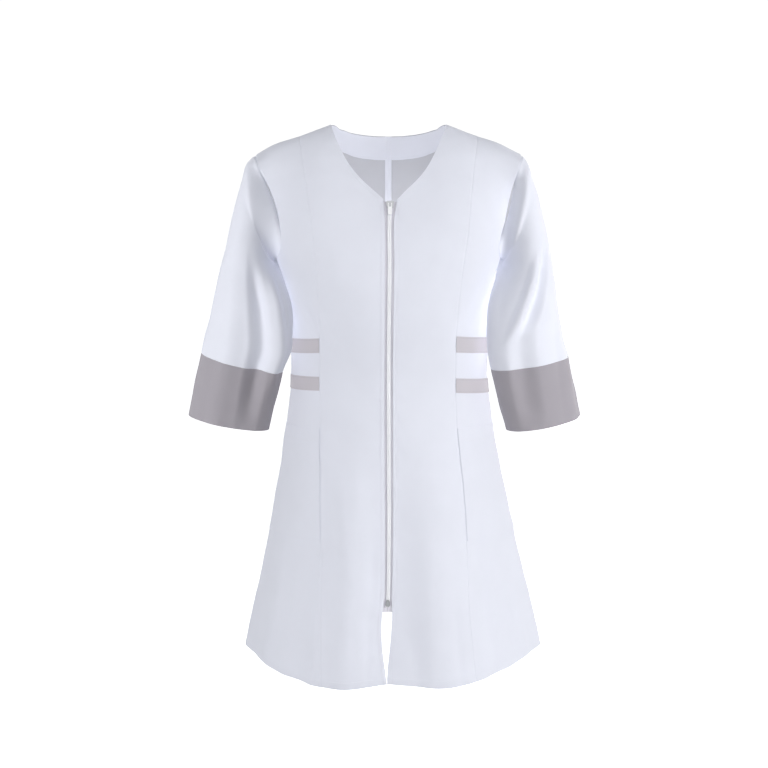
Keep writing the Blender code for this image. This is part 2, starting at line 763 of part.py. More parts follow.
def tube_directions(grid, side):
    around = np.roll(grid, -1, axis=1) - np.roll(grid, 1, axis=1)
    down = np.gradient(grid, axis=0)
    return unit(np.cross(around, down) * side)


def make_sleeve(side, made, cuff_made):
    name = "left" if side > 0 else "right"
    stations = list(SLEEVE_STATIONS) + list(CUFF_STATIONS[1:])
    grid, out = sleeve_grid(side, stations)
    seam_row = len(SLEEVE_STATIONS) - 1
    sleeve = grid[:seam_row + 1].copy()
    sleeve_out = out[:seam_row + 1]
    body_out = armhole_out(side)
    leave = unit(grid[1] - grid[0])
    facing = (leave * body_out).sum(axis=1, keepdims=True)
    inner = sleeve - sleeve_out * WALL
    sleeve[0] = grid[0] + leave * SEAM_HALF + body_out * GAP * np.clip(facing, 0, 1)
    inner[0] = grid[0] + leave * (SEAM_HALF + ARMHOLE_SETBACK) - sleeve_out[0] * WALL
    cut = unit(grid[seam_row - 1] - grid[seam_row])
    sleeve[-1] += cut * SEAM_HALF
    inner[-1] += cut * SEAM_HALF
    points, faces = tube_mesh(sleeve, inner)
    add_object("sleeve_" + name, points, faces, made)
    cuff = grid[seam_row:].copy()
    cuff_inner = cuff - out[seam_row:] * CUFF_WALL
    cut = unit(grid[seam_row + 1] - grid[seam_row])
    cuff[0] += cut * SEAM_HALF
    cuff_inner[0] += cut * SEAM_HALF
    points, faces = tube_mesh(cuff, cuff_inner)
    add_object("cuff_" + name, points, faces, cuff_made)


def armhole_out(side):
    front = [outward(a, d, 0, side) for a, d in armhole_places(side, 0)]
    back = [outward(a, d, 1, side) for a, d in armhole_places(side, 1)]
    return np.array(front + back[-2:0:-1])


def on_panel(panel, row, column):
    """Point and wall direction of a panel's own faces between its rows and columns."""
    points, out = panel
    j = min(int(row), len(points) - 2)
    i = min(int(column), points.shape[1] - 2)
    v = row - j
    u = column - i
    mix = [((j, i), (1 - v) * (1 - u)), ((j, i + 1), (1 - v) * u),
           ((j + 1, i), v * (1 - u)), ((j + 1, i + 1), v * u)]
    point = sum(points[at] * share for at, share in mix)
    return point, unit(sum(out[at] * share for at, share in mix))


def make_facing(panels, made):
    """The facing inside the back neck, in one piece from shoulder to shoulder."""
    outer = np.empty((len(FACING_LEVELS), len(FACING_COLUMNS), 3))
    out = np.empty_like(outer)
    for i, column in enumerate(FACING_COLUMNS):
        panel = panels[1 if column >= 0 else -1]
        for j, level in enumerate(FACING_LEVELS):
            outer[j, i], out[j, i] = on_panel(panel, level, abs(column))
    outer = outer - out * (WALL + FACING_GAP)
    inner = outer - out * TRIM_WALL
    points, faces = sheet_mesh(outer, inner, FACING_COLUMNS.index(0))
    return add_object("neck_facing", points, faces, made)


def panel_row(drop):
    """The row of a panel, counted from its top, that lies at this drop."""
    return ARM_ROWS + (drop - BASE) / (HEM - BASE) * LOWER_ROWS


def make_patch(row, panel, made, margin, rows, thick):
    """A strip or pocket laid on the side front, from princess seam to side seam."""
    name, _, in_top, in_low, out_top, out_low = row
    columns = [margin] + list(range(1, SIDE_COLUMNS)) + [SIDE_COLUMNS - margin]
    outer = np.empty((rows + 1, len(columns), 3))
    out = np.empty_like(outer)
    for j in range(rows + 1):
        v = j / rows
        for i, column in enumerate(columns):
            u = column / SIDE_COLUMNS
            drop = (in_top + (in_low - in_top) * v) * (1 - u) + (
                out_top + (out_low - out_top) * v) * u
            outer[j, i], out[j, i] = on_panel(panel, panel_row(drop), column)
    inner = outer + out * GAP
    points, faces = sheet_mesh(inner + out * thick, inner)
    return add_object(name, points, faces, made)


def zip_point(drop, offset, height):
    """A point beside the zip's middle, height above the outer face of the fronts."""
    middle = float(spline(ZIP_ROWS, drop)[0])
    x = middle + offset
    side = 1 if x >= 0 else -1
    a, d = find(abs(x), float(drop), 0, side)
    d = hem_d(d, abs(a), side)
    point = mirrored(body(a, d, 0, side), side)
    return point + outward(a, d, 0, side) * height


def make_tape(side, made):
    drops = list(np.linspace(TAPE_TOP, BASE, ARM_ROWS - NECK_ROWS_USED + 1))
    drops += [d for d in drop_rows() if BASE < d < ZIP_END - TAPE_LAST_ROW] + [ZIP_END]
    offsets = (TAPE_INNER, TAPE_OUTER * 0.5, TAPE_OUTER)
    height = -(WALL + TAPE_GAP)
    outer = np.array([[zip_point(d, side * o, height) for o in offsets] for d in drops])
    inner = np.array([[zip_point(d, side * o, height - TAPE_WALL) for o in offsets]
                      for d in drops])
    points, faces = sheet_mesh(outer, inner)
    name = "left" if side > 0 else "right"
    return add_object("zip_tape_" + name, points, faces, made)


def zip_frame(drop):
    """Origin and directions at the zip's middle: across, down along it, and out."""
    origin = zip_point(drop, 0.0, 0.0)
    below = zip_point(drop + 2, 0.0, 0.0)
    above = zip_point(drop - 2, 0.0, 0.0)
    across = np.array([1.0, 0.0, 0.0])
    down = unit((below - above) * np.array([0, 1, 1]))
    out = unit(np.cross(down, across))
    return origin, across, down, out


def prism(profile, low, high):
    """A closed prism: profile corners in two directions, from low to high in a third."""
    count = len(profile)
    points = [(u, v, low) for u, v in profile] + [(u, v, high) for u, v in profile]
    faces = [list(range(count)), list(range(2 * count - 1, count - 1, -1))]
    for k in range(count):
        n = (k + 1) % count
        faces.append([n, k, count + k, count + n])
    return np.array(points, float), faces


def block(name, profile, low, high, order, frame, made, shift=(0.0, 0.0, 0.0)):
    """A prism in the zip's directions; order says which of them u, v and w are."""
    origin, across, down, out = frame
    local, faces = prism(profile, low, high)
    named = np.empty_like(local)
    for column, axis in enumerate(order):
        named[:, axis] = local[:, column]
    named += np.asarray(shift)
    points = origin + named[:, :1] * across + named[:, 1:2] * down + named[:, 2:] * out
    return add_object(name, points, faces, made, smooth=False)


def join_solid(target, parts):
    """Boolean union of a few closed blocks into the first."""
    for other in parts:
        union = target.modifiers.new("union", "BOOLEAN")
        union.operation = "UNION"
        union.solver = "EXACT"
        union.object = other
        apply_modifiers(target)
        bpy.data.objects.remove(other)
    return target


def apply_modifiers(thing):
    graph = bpy.context.evaluated_depsgraph_get()
    mesh = bpy.data.meshes.new_from_object(thing.evaluated_get(graph))
    thing.modifiers.clear()
    thing.data = mesh


def rounded_rect(half_u, low_v, high_v, radius, steps=4):
    corners = ((half_u, high_v, 0), (-half_u, high_v, 90), (-half_u, low_v, 180),
               (half_u, low_v, 270))
    outline = []
    for u, v, start in corners:
        cu = u - math.copysign(radius, u)
        cv = v - radius if v == high_v else v + radius
        for k in range(steps + 1):
            turn = math.radians(start + 90 * k / steps)
            outline.append((cu + radius * math.cos(turn), cv + radius * math.sin(turn)))
    return outline


def make_slider(made):
    """Slider plate with side flanges and the bridge that holds the pull tab."""
    frame = zip_frame(SLIDER_DROP)
    half = SLIDER_LENGTH / 2
    top = SLIDER_WIDTH / 2
    foot = SLIDER_FOOT / 2
    cut = SLIDER_CORNER
    outline = [(-top + cut, -half), (top - cut, -half), (top, -half + cut), (foot, half - cut),
               (foot - cut, half), (-foot + cut, half), (-foot, half - cut), (-top, -half + cut)]
    plate = block("zip_slider", outline, PLATE_BASE, PLATE_TOP, (0, 1, 2), frame, made)
    parts = []
    for sign in (-1, 1):
        start = -half + cut + METAL_JOIN
        end = half - cut - METAL_JOIN
        edge = [(sign * top, start), (sign * foot, end), (sign * (foot - FLANGE_WIDTH), end),
                (sign * (top - FLANGE_WIDTH), start)]
        parts.append(block("flange", edge, FLANGE_BASE, PLATE_BASE + METAL_JOIN, (0, 1, 2), frame,
                           made, (-sign * FLANGE_INSET, 0, 0)))
    high = PLATE_TOP + BRIDGE_OPENING + BRIDGE_WALL
    low = PLATE_TOP + BRIDGE_OPENING
    foot_at = PLATE_TOP - METAL_JOIN
    arch = [(BRIDGE_START, foot_at), (BRIDGE_START, high - BRIDGE_CORNER),
            (BRIDGE_START + BRIDGE_CORNER, high), (BRIDGE_END - BRIDGE_CORNER, high),
            (BRIDGE_END, high - BRIDGE_CORNER), (BRIDGE_END, foot_at),
            (BRIDGE_END - BRIDGE_WALL, foot_at), (BRIDGE_END - BRIDGE_WALL, low),
            (BRIDGE_START + BRIDGE_WALL, low), (BRIDGE_START + BRIDGE_WALL, foot_at)]
    parts.append(block("bridge", arch, -BRIDGE_WIDTH / 2, BRIDGE_WIDTH / 2, (1, 2, 0), frame,
                       made))
    return join_solid(plate, parts)


def make_pull(made):
    """Pull tab: a round bar under the bridge, two arms and a rounded plate."""
    origin, across, down, out = zip_frame(SLIDER_DROP)
    pivot = origin + down * PIVOT_ALONG + out * (PLATE_TOP + PIVOT_ABOVE)
    frame = (pivot, across, down, out)
    half = PULL_WIDTH / 2
    eye = PULL_EYE_WIDTH / 2
    thick = PULL_THICK / 2
    plate = block("zip_pull", rounded_rect(half, PULL_EYE_END, PULL_END, PULL_CORNER), -thick, thick,
                  (0, 1, 2), frame, made)
    parts = []
    for sign in (-1, 1):
        arm = [(sign * eye, -BAR_RADIUS), (sign * half, 0.0),
               (sign * half, PULL_EYE_END + ARM_OVERLAP), (sign * eye, PULL_EYE_END + ARM_OVERLAP)]
        parts.append(block("arm", arm, -thick, thick, (0, 1, 2), frame, made))
    ring = [(BAR_RADIUS * math.cos(t), BAR_RADIUS * math.sin(t))
            for t in np.linspace(0, 2 * math.pi, 16, endpoint=False)]
    parts.append(block("bar", ring, -eye - METAL_JOIN, eye + METAL_JOIN, (1, 2, 0), frame, made))
    tab = join_solid(plate, parts)
    shift = pivot * MM
    for vertex in tab.data.vertices:
        vertex.co = tuple(np.array(vertex.co) - shift)
    tab.location = tuple(float(c) for c in shift)
    tab.data.update()
    return tab


def make_stop(made):
    """The bottom stop that clamps both tapes above the slit."""
    frame = zip_frame(STOP_DROP)
    half = STOP_LENGTH / 2
    wide = STOP_WIDTH / 2
    right_half = [(wide - STOP_TAPER, -half), (wide - STOP_TAPER / 3, -half + STOP_NECK),
                  (wide, half - STOP_CORNER * 2), (wide - STOP_CORNER, half)]
    outline = right_half + [(-across, down) for across, down in reversed(right_half)]
    return block("zip_bottom_stop", outline, STOP_BASE, STOP_TOP, (0, 1, 2), frame, made)


def main():
    for thing in list(bpy.data.objects):
        bpy.data.objects.remove(thing)
    white = material("fabric_white", (0.86, 0.87, 0.91), 0.85)
    grey = material("fabric_grey", (0.43, 0.41, 0.44), 0.85)
    tape = material("zip_tape_white", (0.88, 0.89, 0.92), 0.8)
    metal = material("zip_metal", (0.75, 0.76, 0.78), 0.35, 1.0)
    dark = material("zip_dark_metal", (0.32, 0.33, 0.34), 0.4, 1.0)
    side_fronts = {}
    backs = {}
    for side in (-1, 1):
        side_fronts[side] = make_fronts(side, white)
        backs[side] = make_back(side, white)
        make_sleeve(side, white, grey)
        make_tape(side, tape)
    make_facing(backs, white)
    for row in STRIP_ROWS:
        make_patch(row, side_fronts[row[1]], grey, STRIP_MARGIN, 1, TRIM_WALL)
    for row in POCKET_ROWS:
        make_patch(row, side_fronts[row[1]], white, POCKET_MARGIN, POCKET_ROWS_OF_POINTS,
                   TRIM_WALL)
    make_slider(metal)
    make_pull(metal)
    make_stop(dark)


main()
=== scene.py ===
"""Looks of the nurse uniform dress: cloth, seams, stitching, zip, studio and camera.

Tables and shapes are in millimetres, in the CAD model's own frame: +Z up, the front faces -Y,
the wearer's left is +X. "Drop" is the distance below the origin. Meshes are made in metres.
"""

import math

import bpy
import numpy as np
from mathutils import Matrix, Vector


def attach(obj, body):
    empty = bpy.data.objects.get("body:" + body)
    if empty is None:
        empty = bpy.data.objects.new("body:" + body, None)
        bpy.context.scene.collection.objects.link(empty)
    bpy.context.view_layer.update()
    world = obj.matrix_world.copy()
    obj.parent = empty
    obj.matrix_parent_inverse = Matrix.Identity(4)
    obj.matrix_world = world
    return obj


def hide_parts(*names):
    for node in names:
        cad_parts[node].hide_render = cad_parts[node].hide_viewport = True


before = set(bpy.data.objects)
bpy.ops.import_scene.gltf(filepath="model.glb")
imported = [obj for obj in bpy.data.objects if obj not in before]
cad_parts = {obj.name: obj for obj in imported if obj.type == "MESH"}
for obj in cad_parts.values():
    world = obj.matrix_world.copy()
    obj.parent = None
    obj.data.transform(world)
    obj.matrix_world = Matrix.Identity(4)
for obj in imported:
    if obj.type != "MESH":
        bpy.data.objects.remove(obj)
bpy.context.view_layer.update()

MM = 0.001
SIDES = {-1: "right", 1: "left"}

# Driving sizes, the same as the solids have
BASE = 205.0
TIP_X = 205.5
NECK_X = 89.0
HEM = 840.0
NECK_DROP = 110.0
ZIP_END = 728.0
SLEEVE_SEAM = 330.0
CUFF_END = 425.0
SEAM_HALF = 0.05

# Cloth
CLOTH = 0.9
CUFF_CLOTH = 1.7
PATCH_CLOTH = 0.8
FACING_CLOTH = 0.7
FACING_STITCH = 3.0
STRIP_CLOTH = 0.55
RIM_BULGE = 0.12
HEM_DEPTH = 12.0
STITCH_FROM_EDGE = 6.0
POCKET_HEM = 20.0
PATCH_STITCH = 2.0
FACING_DEPTH = 38.0
ALLOWANCE = 10.0
SEAM_TAPE = 5.3
FACING_SIDE = 20.0

# Thread
STITCH_PITCH = 3.2
STITCH_LENGTH = 2.5
THREAD = 0.24
THREAD_SIDES = 5

# Coil zip
COIL_PITCH = 1.3
COIL_POINTS = 8
COIL_WIRE = 0.34
COIL_MIDDLE = 1.35
COIL_REACH = 1.75
COIL_RISE = 0.85
TAPE_START = 113.0
TAPE_CLOTH = 0.6
TAPE_STITCH = 3.7
COIL_START = 114.0
COIL_END_GAP = 2.0
CORE = (1.3, 0.62)
CORE_SIDES = 10
TAPE_DEPTH = 1.9
TAPE_TAIL = 5.5

# Fine grid: steps for each step of the solids' grid
FINE = 5
UPPER_ROWS = 14 * FINE
NECK_ROWS_USED = 8 * FINE
LOWER_ROWS = 25 * FINE

BODY_ROWS = (
    # drop, half width, sideways shift, front depth, back depth,
    # front power, front root, back power, back root, hollow at centre front
    (205, 175, 0, 124, 101, 2.9, 0.5, 2.9, 0.5, 0.015),
    (240, 164.5, 0, 130, 100, 2.5, 0.5, 2.5, 0.5, 0.02),
    (290, 158.5, 0, 129, 96, 2.2, 0.52, 2.2, 0.52, 0.02),
    (340, 156.5, 1.5, 120, 91, 2.2, 0.54, 2.2, 0.54, 0.01),
    (385, 155.8, 1.2, 114, 88, 2.2, 0.56, 2.2, 0.55, 0.005),
    (433, 160.2, 1.9, 117, 95, 2.3, 0.6, 2.2, 0.58, 0.005),
    (498, 169, 2.2, 124, 108, 2.4, 0.66, 2.3, 0.62, 0.01),
    (564, 181.1, 3.8, 132, 122, 2.6, 0.72, 2.4, 0.68, 0.015),
    (630, 195, 5.2, 141, 134, 2.7, 0.78, 2.5, 0.74, 0.02),
    (697, 209.7, 6.1, 151, 145, 2.9, 0.83, 2.6, 0.78, 0.028),
    (765, 226.3, 7, 164, 155, 3, 0.88, 2.7, 0.82, 0.036),
    (840, 243.5, 7.9, 180, 163, 3.1, 0.92, 2.8, 0.86, 0.045),
)
HOLLOW_REACH = 0.34
SECTION_SAMPLES = 160
PLACE_SAMPLES = 321
SECTION_STEP = 2.0

SHOULDER_ROWS = (
    # x, drop, y in front, y behind, front reach, front fall, back reach, back fall
    (0, -16, -26, 44, 62, 150, 70, 130),
    (45, -11, -15, 30, 90, 120, 100, 100),
    (89, 0, 0, 0, 150, 30, 150, 30),
    (138, 18.2, 0, 0, 155, 32, 155, 32),
    (178, 31.4, 0, 0, 215, 50, 215, 50),
    (205.5, 46, 0, 0, 300, 60, 300, 60),
)
NECKLINE_ROWS = (
    # drop, x
    (0, 89), (10, 85), (38.5, 71.8), (57, 61.5), (72, 50.5), (84.5, 38.5),
    (95.5, 26), (110, 10.8),
)
BACK_NECK_ROWS = (
    # x, drop
    (0, 19), (25, 18), (50, 14.6), (70, 9.6), (83, 4), (89, 0),
)
BACK_NECK_COLUMNS = (0, 22, 42, 60, 76)
BACK_COLUMNS = 12
ZIP_ROWS = (
    # drop, x of the middle, half width of the opening
    (108, 2.4, 10.8),
    (120, 2, 9.2),
    (134, 1.4, 7.6),
    (198, 1.4, 7.2),
    (334, 0.2, 6.4),
    (488, 0.4, 6.6),
    (640, 0.6, 6.2),
    (715, -0.8, 6.2),
    (735, -2.1, 7.4),
    (760, -3.2, 7.4),
    (790, -3.8, 5.2),
    (820, -3.3, 1.7),
    (840, -2.3, 0.3),
)
PRINCESS_ROWS = (
    # drop, x on the wearer's right, x on the wearer's left
    (19, 137, 137),
    (60, 129.5, 130),
    (100, 122.5, 125),
    (157, 115, 119),
    (205, 109.5, 112.5),
    (260, 106.5, 106),
    (320, 105.4, 101.8),
    (403, 105.8, 102),
    (456, 105.5, 103.5),
    (580, 105.2, 112),
    (672, 105, 116),
    (749, 104.9, 121),
    (840, 104.7, 132),
)
ARMHOLE_ROWS = (
    # drop, x in front on the wearer's right, x in front on the left, x behind
    (46, 205.5, 205.5, 205.5),
    (67, 196.3, 198, 196),
    (97, 181.5, 188.6, 183),
    (125, 170.5, 183, 174.5),
    (150, 165.8, 177.5, 169.5),
    (172, 164.5, 171.5, 167.5),
    (188, 166, 169.5, 168),
    (198, 169.5, 170.5, 170.5),
    (205, 175, 175, 175),
)
HEM_START = 700.0
HEM_ROWS = {
    # place from the centre (0) to the side seam (1), drop added to the front hem
    -1: ((0, 2.5), (0.16, 6.5), (0.34, 8.5), (0.55, 4.5), (0.78, -2.5), (1, 0)),
    1: ((0, 2.5), (0.16, 4), (0.34, 5.5), (0.55, 2), (0.78, -5), (1, 0)),
}
SKIRT_FOLDS = (
    # side, behind, place from centre to side seam, half width, start drop, full drop, height
    (-1, 0, 0.2, 0.1, 430, 760, 4),
    (-1, 0, 0.47, 0.09, 520, 840, -4),
    (-1, 0, 0.72, 0.13, 560, 840, 3.5),
    (1, 0, 0.24, 0.12, 470, 780, 3.5),
    (1, 0, 0.55, 0.1, 520, 840, -3.5),
    (1, 0, 0.76, 0.12, 600, 840, 3),
    (-1, 1, 0.3, 0.14, 470, 820, 5),
    (-1, 1, 0.62, 0.12, 520, 840, -5),
    (1, 1, 0.26, 0.13, 480, 820, 4.5),
    (1, 1, 0.58, 0.12, 530, 840, -5),
)
SLEEVE_ROWS = {
    # station, outer x, y, drop, inner x, y, drop, depth in front, depth behind
    -1: (
        (14, 215.5, -2, 55, 176.5, -3, 207, 60, 62),
        (40, 225, -6, 83, 175.5, -12, 213, 57, 60),
        (85, 237, -11, 130, 172, -27, 224, 52, 54),
        (135, 249.5, -15, 186, 164, -45, 244, 46, 45),
        (190, 264, -19, 240, 154, -62, 276, 42, 38),
        (245, 277.5, -23, 296, 149, -69, 318, 40, 36),
        (285, 286, -26, 326, 151, -68, 345, 39, 36),
        (330, 291.5, -28, 350, 163.5, -66, 377, 38, 36),
        (380, 303.5, -32, 400, 175.5, -68, 423, 38, 36),
        (425, 313, -36, 446.5, 185.5, -72, 466, 38, 36),
    ),
    1: (
        (14, 213, -2, 55, 176.5, -3, 207, 62, 62),
        (40, 222, -6, 83, 176, -12, 213, 58, 60),
        (85, 234, -10, 130, 174.5, -26, 224, 54, 54),
        (135, 244.5, -13, 186, 168.5, -44, 243, 49, 45),
        (190, 254, -15, 240, 159.5, -62, 275, 46, 38),
        (245, 262.5, -16, 296, 154, -73, 314, 44, 36),
        (285, 269.5, -17, 326, 154, -76, 340, 43, 36),
        (330, 278, -18, 354.5, 160, -78, 371, 42, 36),
        (380, 288, -20, 401.5, 171.5, -80, 419.5, 42, 36),
        (425, 298, -22, 446.5, 184.5, -82, 465, 42, 36),
    ),
}
SLEEVE_FOLDS = (
    # side, turn at the start, turn at the end, half width, start, end, height
    (-1, 112, 128, 19, 75, 450, -14),
    (-1, 146, 154, 16, 75, 400, 7),
    (-1, 76, 84, 20, 120, 520, 3.5),
    (-1, 180, 180, 24, 30, 260, 5),
    (1, 53, 116, 18, 98, 258, -10),
    (1, 112, 128, 24, 200, 440, -7),
    (1, 86, 138, 17, 100, 280, 9),
    (1, 34, 70, 20, 200, 520, 3.5),
    (1, 180, 178, 26, 30, 260, 6),
    (-1, 262, 272, 22, 100, 400, -8),
    (-1, 236, 240, 16, 90, 360, 4.5),
    (-1, 304, 296, 18, 130, 400, 5),
    (1, 270, 262, 22, 100, 400, -8),
    (1, 240, 246, 16, 90, 360, 4.5),
    (1, 300, 306, 18, 130, 400, 5),
)
CREASES = (
    # behind, x and drop of one end, x and drop of the other, half width, height
    (0, -148, 222, -96, 352, 10, -1.4),
    (0, -128, 232, -70, 372, 11, 1.3),
    (0, 150, 226, 104, 340, 10, -1.3),
    (0, 126, 240, 74, 360, 12, 1.1),
    (0, -96, 120, -66, 268, 16, 1),
    (0, 92, 128, 60, 262, 16, 0.9),
    (0, -74, 500, -62, 690, 14, 1.6),
    (0, -44, 700, -40, 862, 12, 1.7),
    (0, -22, 560, -26, 800, 10, -1.2),
    (0, 40, 750, 50, 880, 18, -2.6),
    (0, 76, 400, 88, 960, 66, 14),
    (0, -52, 430, -62, 960, 48, 6.5),
    (0, -30, 560, -22, 900, 20, 1.6),
    (0, -120, 770, -138, 880, 14, -2.4),
    (0, 94, 690, 112, 880, 12, -2.2),
    (0, 150, 640, 186, 880, 14, 1.6),
    (0, -160, 650, -196, 880, 15, 1.5),
    (1, -66, 296, 58, 312, 12, -1.8),
    (1, -78, 332, 72, 345, 12, 1.6),
    (1, -96, 362, -12, 376, 9, -1.4),
    (1, 14, 372, 98, 360, 9, -1.3),
    (1, -152, 186, -58, 222, 12, -1.6),
    (1, 150, 190, 70, 230, 12, -1.5),
    (1, -104, 100, -84, 240, 22, 1.3),
    (1, 102, 106, 88, 244, 22, 1.3),
    (1, -50, 560, -64, 880, 13, -1.9),
    (1, 70, 600, 92, 880, 13, 1.7),
)
UNEVEN = (
    # wave length, height, direction of a slow wave in the cloth
    (83, 0.34, (0.9, 0.2, 0.35)),
    (57, 0.26, (-0.5, 0.3, 0.8)),
    (38, 0.15, (0.7, 0.5, -0.5)),
    (26, 0.09, (0.3, -0.6, 0.75)),
)
DRIFT = (0.013, 0.021, 0.009)
ACROSS = np.array([1.0, 0.0, 0.0])
ARMHOLE_DIP = -2.3
PUCKER_WAVE = 17.0
PUCKER = 0.16
ZIP_PUCKER_WAVE = 41.0
ZIP_PUCKER = 0.4
SLEEVE_CLEAR = 2.2
SLEEVE_STEP = 4.5

STRIP_ROWS = (
    # name, side, top at princess seam, bottom there, top at side seam, bottom there
    ("waist_strip_upper_right", -1, 320, 342.6, 332, 354.5),
    ("waist_strip_lower_right", -1, 380.5, 402.2, 389.5, 411.5),
    ("waist_strip_upper_left", 1, 316.5, 341.6, 330.5, 355.5),
    ("waist_strip_lower_left", 1, 382.6, 405, 396.5, 419),
)
POCKET_ROWS = (
    ("pocket_right", -1, 460, 632, 468, 642),
    ("pocket_left", 1, 460, 632, 468, 642),
)


def hermite(start, leave, end, arrive, t):
    """Between two points with a slope at each, for t from 0 to 1."""
    return (start * (1 + 2 * t) * (1 - t) ** 2 + leave * t * (1 - t) ** 2
            + end * t * t * (3 - 2 * t) + arrive * t * t * (t - 1))


def spline(rows, at):
    """A smooth curve through a table whose first column is the place."""
    table = np.asarray(rows, float)
    key = table[:, 0]
    value = table[:, 1:]
    step = np.diff(key)[:, None]
    chord = np.diff(value, axis=0) / step
    slope = np.empty_like(value)
    slope[1:-1] = (chord[:-1] * step[1:] + chord[1:] * step[:-1]) / (step[:-1] + step[1:])
    slope[0] = chord[0]
    slope[-1] = chord[-1]
    at = np.clip(np.asarray(at, float), key[0], key[-1])
    left = np.clip(np.searchsorted(key, at, side="right") - 1, 0, len(key) - 2)
    width = (key[left + 1] - key[left])[..., None]
    t = (at - key[left])[..., None] / width
    return hermite(value[left], slope[left] * width, value[left + 1], slope[left + 1] * width, t)


def bump(distance):
    """1 in the middle and 0 from a distance of 1, smooth."""
    inside = np.clip(1 - np.asarray(distance, float) ** 2, 0, 1)
    return inside * inside


def ramp(at, start, end):
    t = np.clip((at - start) / (end - start), 0, 1)
    return t * t * (3 - 2 * t)


def unit(vector):
    vector = np.asarray(vector, float)
    return vector / np.maximum(np.linalg.norm(vector, axis=-1, keepdims=True), 1e-12)


def lengths(x, y):
    """Distance along a curve at each of its points."""
    return np.concatenate([[0], np.cumsum(np.hypot(np.diff(x), np.diff(y)))])


def section(drop, behind, side):
    """Half of a body section: fraction of its length, x before the shift, and y."""
    half, _, front, back, *shape = spline(BODY_ROWS, drop)
    front_power, front_root, back_power, back_root, hollow = shape
    place = np.sin(np.linspace(0, math.pi / 2, SECTION_SAMPLES))
    if behind:
        y = back * (1 - place ** back_power) ** back_root
    else:
        y = -front * (1 - place ** front_power) ** front_root
        y *= 1 - hollow * np.clip(1 - place / HOLLOW_REACH, 0, 1) ** 2
    x = half * place
    along = lengths(x, y)
    along /= along[-1]
    away = np.zeros_like(x)
    for fold_side, fold_behind, middle, width, start, full, height in SKIRT_FOLDS:
        if fold_side == side and fold_behind == behind and drop > start:
            away += height * bump((along - middle) / width) * ramp(drop, start, full)
    out = unit(np.stack([x / half ** 2, y / (back if behind else front) ** 2], -1))
    x = x + away * out[:, 0]
    y = y + away * out[:, 1]
    along = lengths(x, y)
    return along / along[-1], x, y


def section_tables():
    """Body sections at even drops and even places, for each half of front and back."""
    drops = np.arange(BASE, HEM + 3 * SECTION_STEP, SECTION_STEP)
    places = np.linspace(0, 1, PLACE_SAMPLES)
    tables = {}
    for behind in (0, 1):
        for side in SIDES:
            sections = [section(drop, behind, side) for drop in drops]
            tables[behind, side] = np.array([
                np.stack([np.interp(places, along, x), np.interp(places, along, y)], -1)
                for along, x, y in sections])
    return tables


SECTIONS = section_tables()


def section_point(a, drop, behind, side):
    """Points of the body at places a of the sections at these drops, from the table."""
    table = SECTIONS[behind, side]
    row = np.clip((drop - BASE) / SECTION_STEP, 0, len(table) - 1.001)
    column = np.clip(a, 0, 1) * (PLACE_SAMPLES - 1.001)
    j = row.astype(int)
    i = column.astype(int)
    v = (row - j)[..., None]
    u = (column - i)[..., None]
    low = table[j, i] * (1 - u) + table[j, i + 1] * u
    high = table[j + 1, i] * (1 - u) + table[j + 1, i + 1] * u
    flat = low * (1 - v) + high * v
    return np.concatenate([flat, -drop[..., None]], -1)


def half_body(a, d, behind, side):
    lower = section_point(a, np.maximum(d, BASE), behind, side)
    if d.min() >= BASE:
        return lower
    rows = spline(SHOULDER_ROWS, TIP_X * a)
    x = TIP_X * a
    inside = x < NECK_X
    reach = rows[..., 5] if behind else -rows[..., 3]
    fall = rows[..., 6] if behind else rows[..., 4]
    y = np.maximum(rows[..., 2], 0) if behind else np.minimum(rows[..., 1], 0)
    start = np.stack([x, np.where(inside, y, 0), -rows[..., 0]], -1)
    leave = np.stack([np.zeros_like(x), reach, -fall], -1)
    base = np.full_like(d, BASE)
    end = section_point(a, base, behind, side)
    arrive = (section_point(a, base + 2, behind, side) - end) * BASE / 2
    t = np.clip(d / BASE, 0, 1)[..., None]
    return np.where((d >= BASE)[..., None], lower, hermite(start, leave, end, arrive, t))


def body(a, d, behind, side):
    """Points of the body cloth: a from the centre (0) to the side (1), d downwards.

    They are given for the wearer's left; mirrored() turns them to their own side.
    """
    a, d = np.broadcast_arrays(np.asarray(a, float), np.asarray(d, float))
    points = half_body(np.abs(a), d, behind, side)
    if (a < 0).any():
        other = half_body(np.abs(a), d, behind, -side) * np.array([-1, 1, 1])
        points = np.where((a < 0)[..., None], other, points)
    return points


def find(x, drop, behind, side):
    """The places (a, d) of the body points that have these x and drops."""
    x, drop = np.broadcast_arrays(np.asarray(x, float), np.asarray(drop, float))
    a = np.clip(x / TIP_X, -0.2, 0.98)
    d = np.maximum(drop, 4.0)
    for _ in range(40):
        here = body(a, d, behind, side)
        miss_x = here[..., 0] - x
        miss_d = -here[..., 2] - drop
        by_a = (body(a + 1e-3, d, behind, side) - here) / 1e-3
        by_d = (body(a, d + 5e-2, behind, side) - here) / 5e-2
        cross = by_a[..., 0] * -by_d[..., 2] + by_d[..., 0] * by_a[..., 2]
        cross = np.where(np.abs(cross) < 1e-3, 1e-3, cross)
        step_a = (miss_x * -by_d[..., 2] - by_d[..., 0] * miss_d) / cross
        step_d = (by_a[..., 0] * miss_d + by_a[..., 2] * miss_x) / cross
        a = np.clip(a - np.clip(step_a, -0.1, 0.1), -0.2, 0.9995)
        d = np.maximum(d - np.clip(step_d, -25, 25), 0)
    return np.stack([a, d], -1)


def mirrored(points, side):
    """Body points moved to their own side, with the sideways shift of the section."""
    points = np.array(points, float)
    row = spline(BODY_ROWS, np.maximum(-points[..., 2], BASE))
    points[..., 0] = side * points[..., 0] + row[..., 1] * (points[..., 0] / row[..., 0]) ** 2
    return points


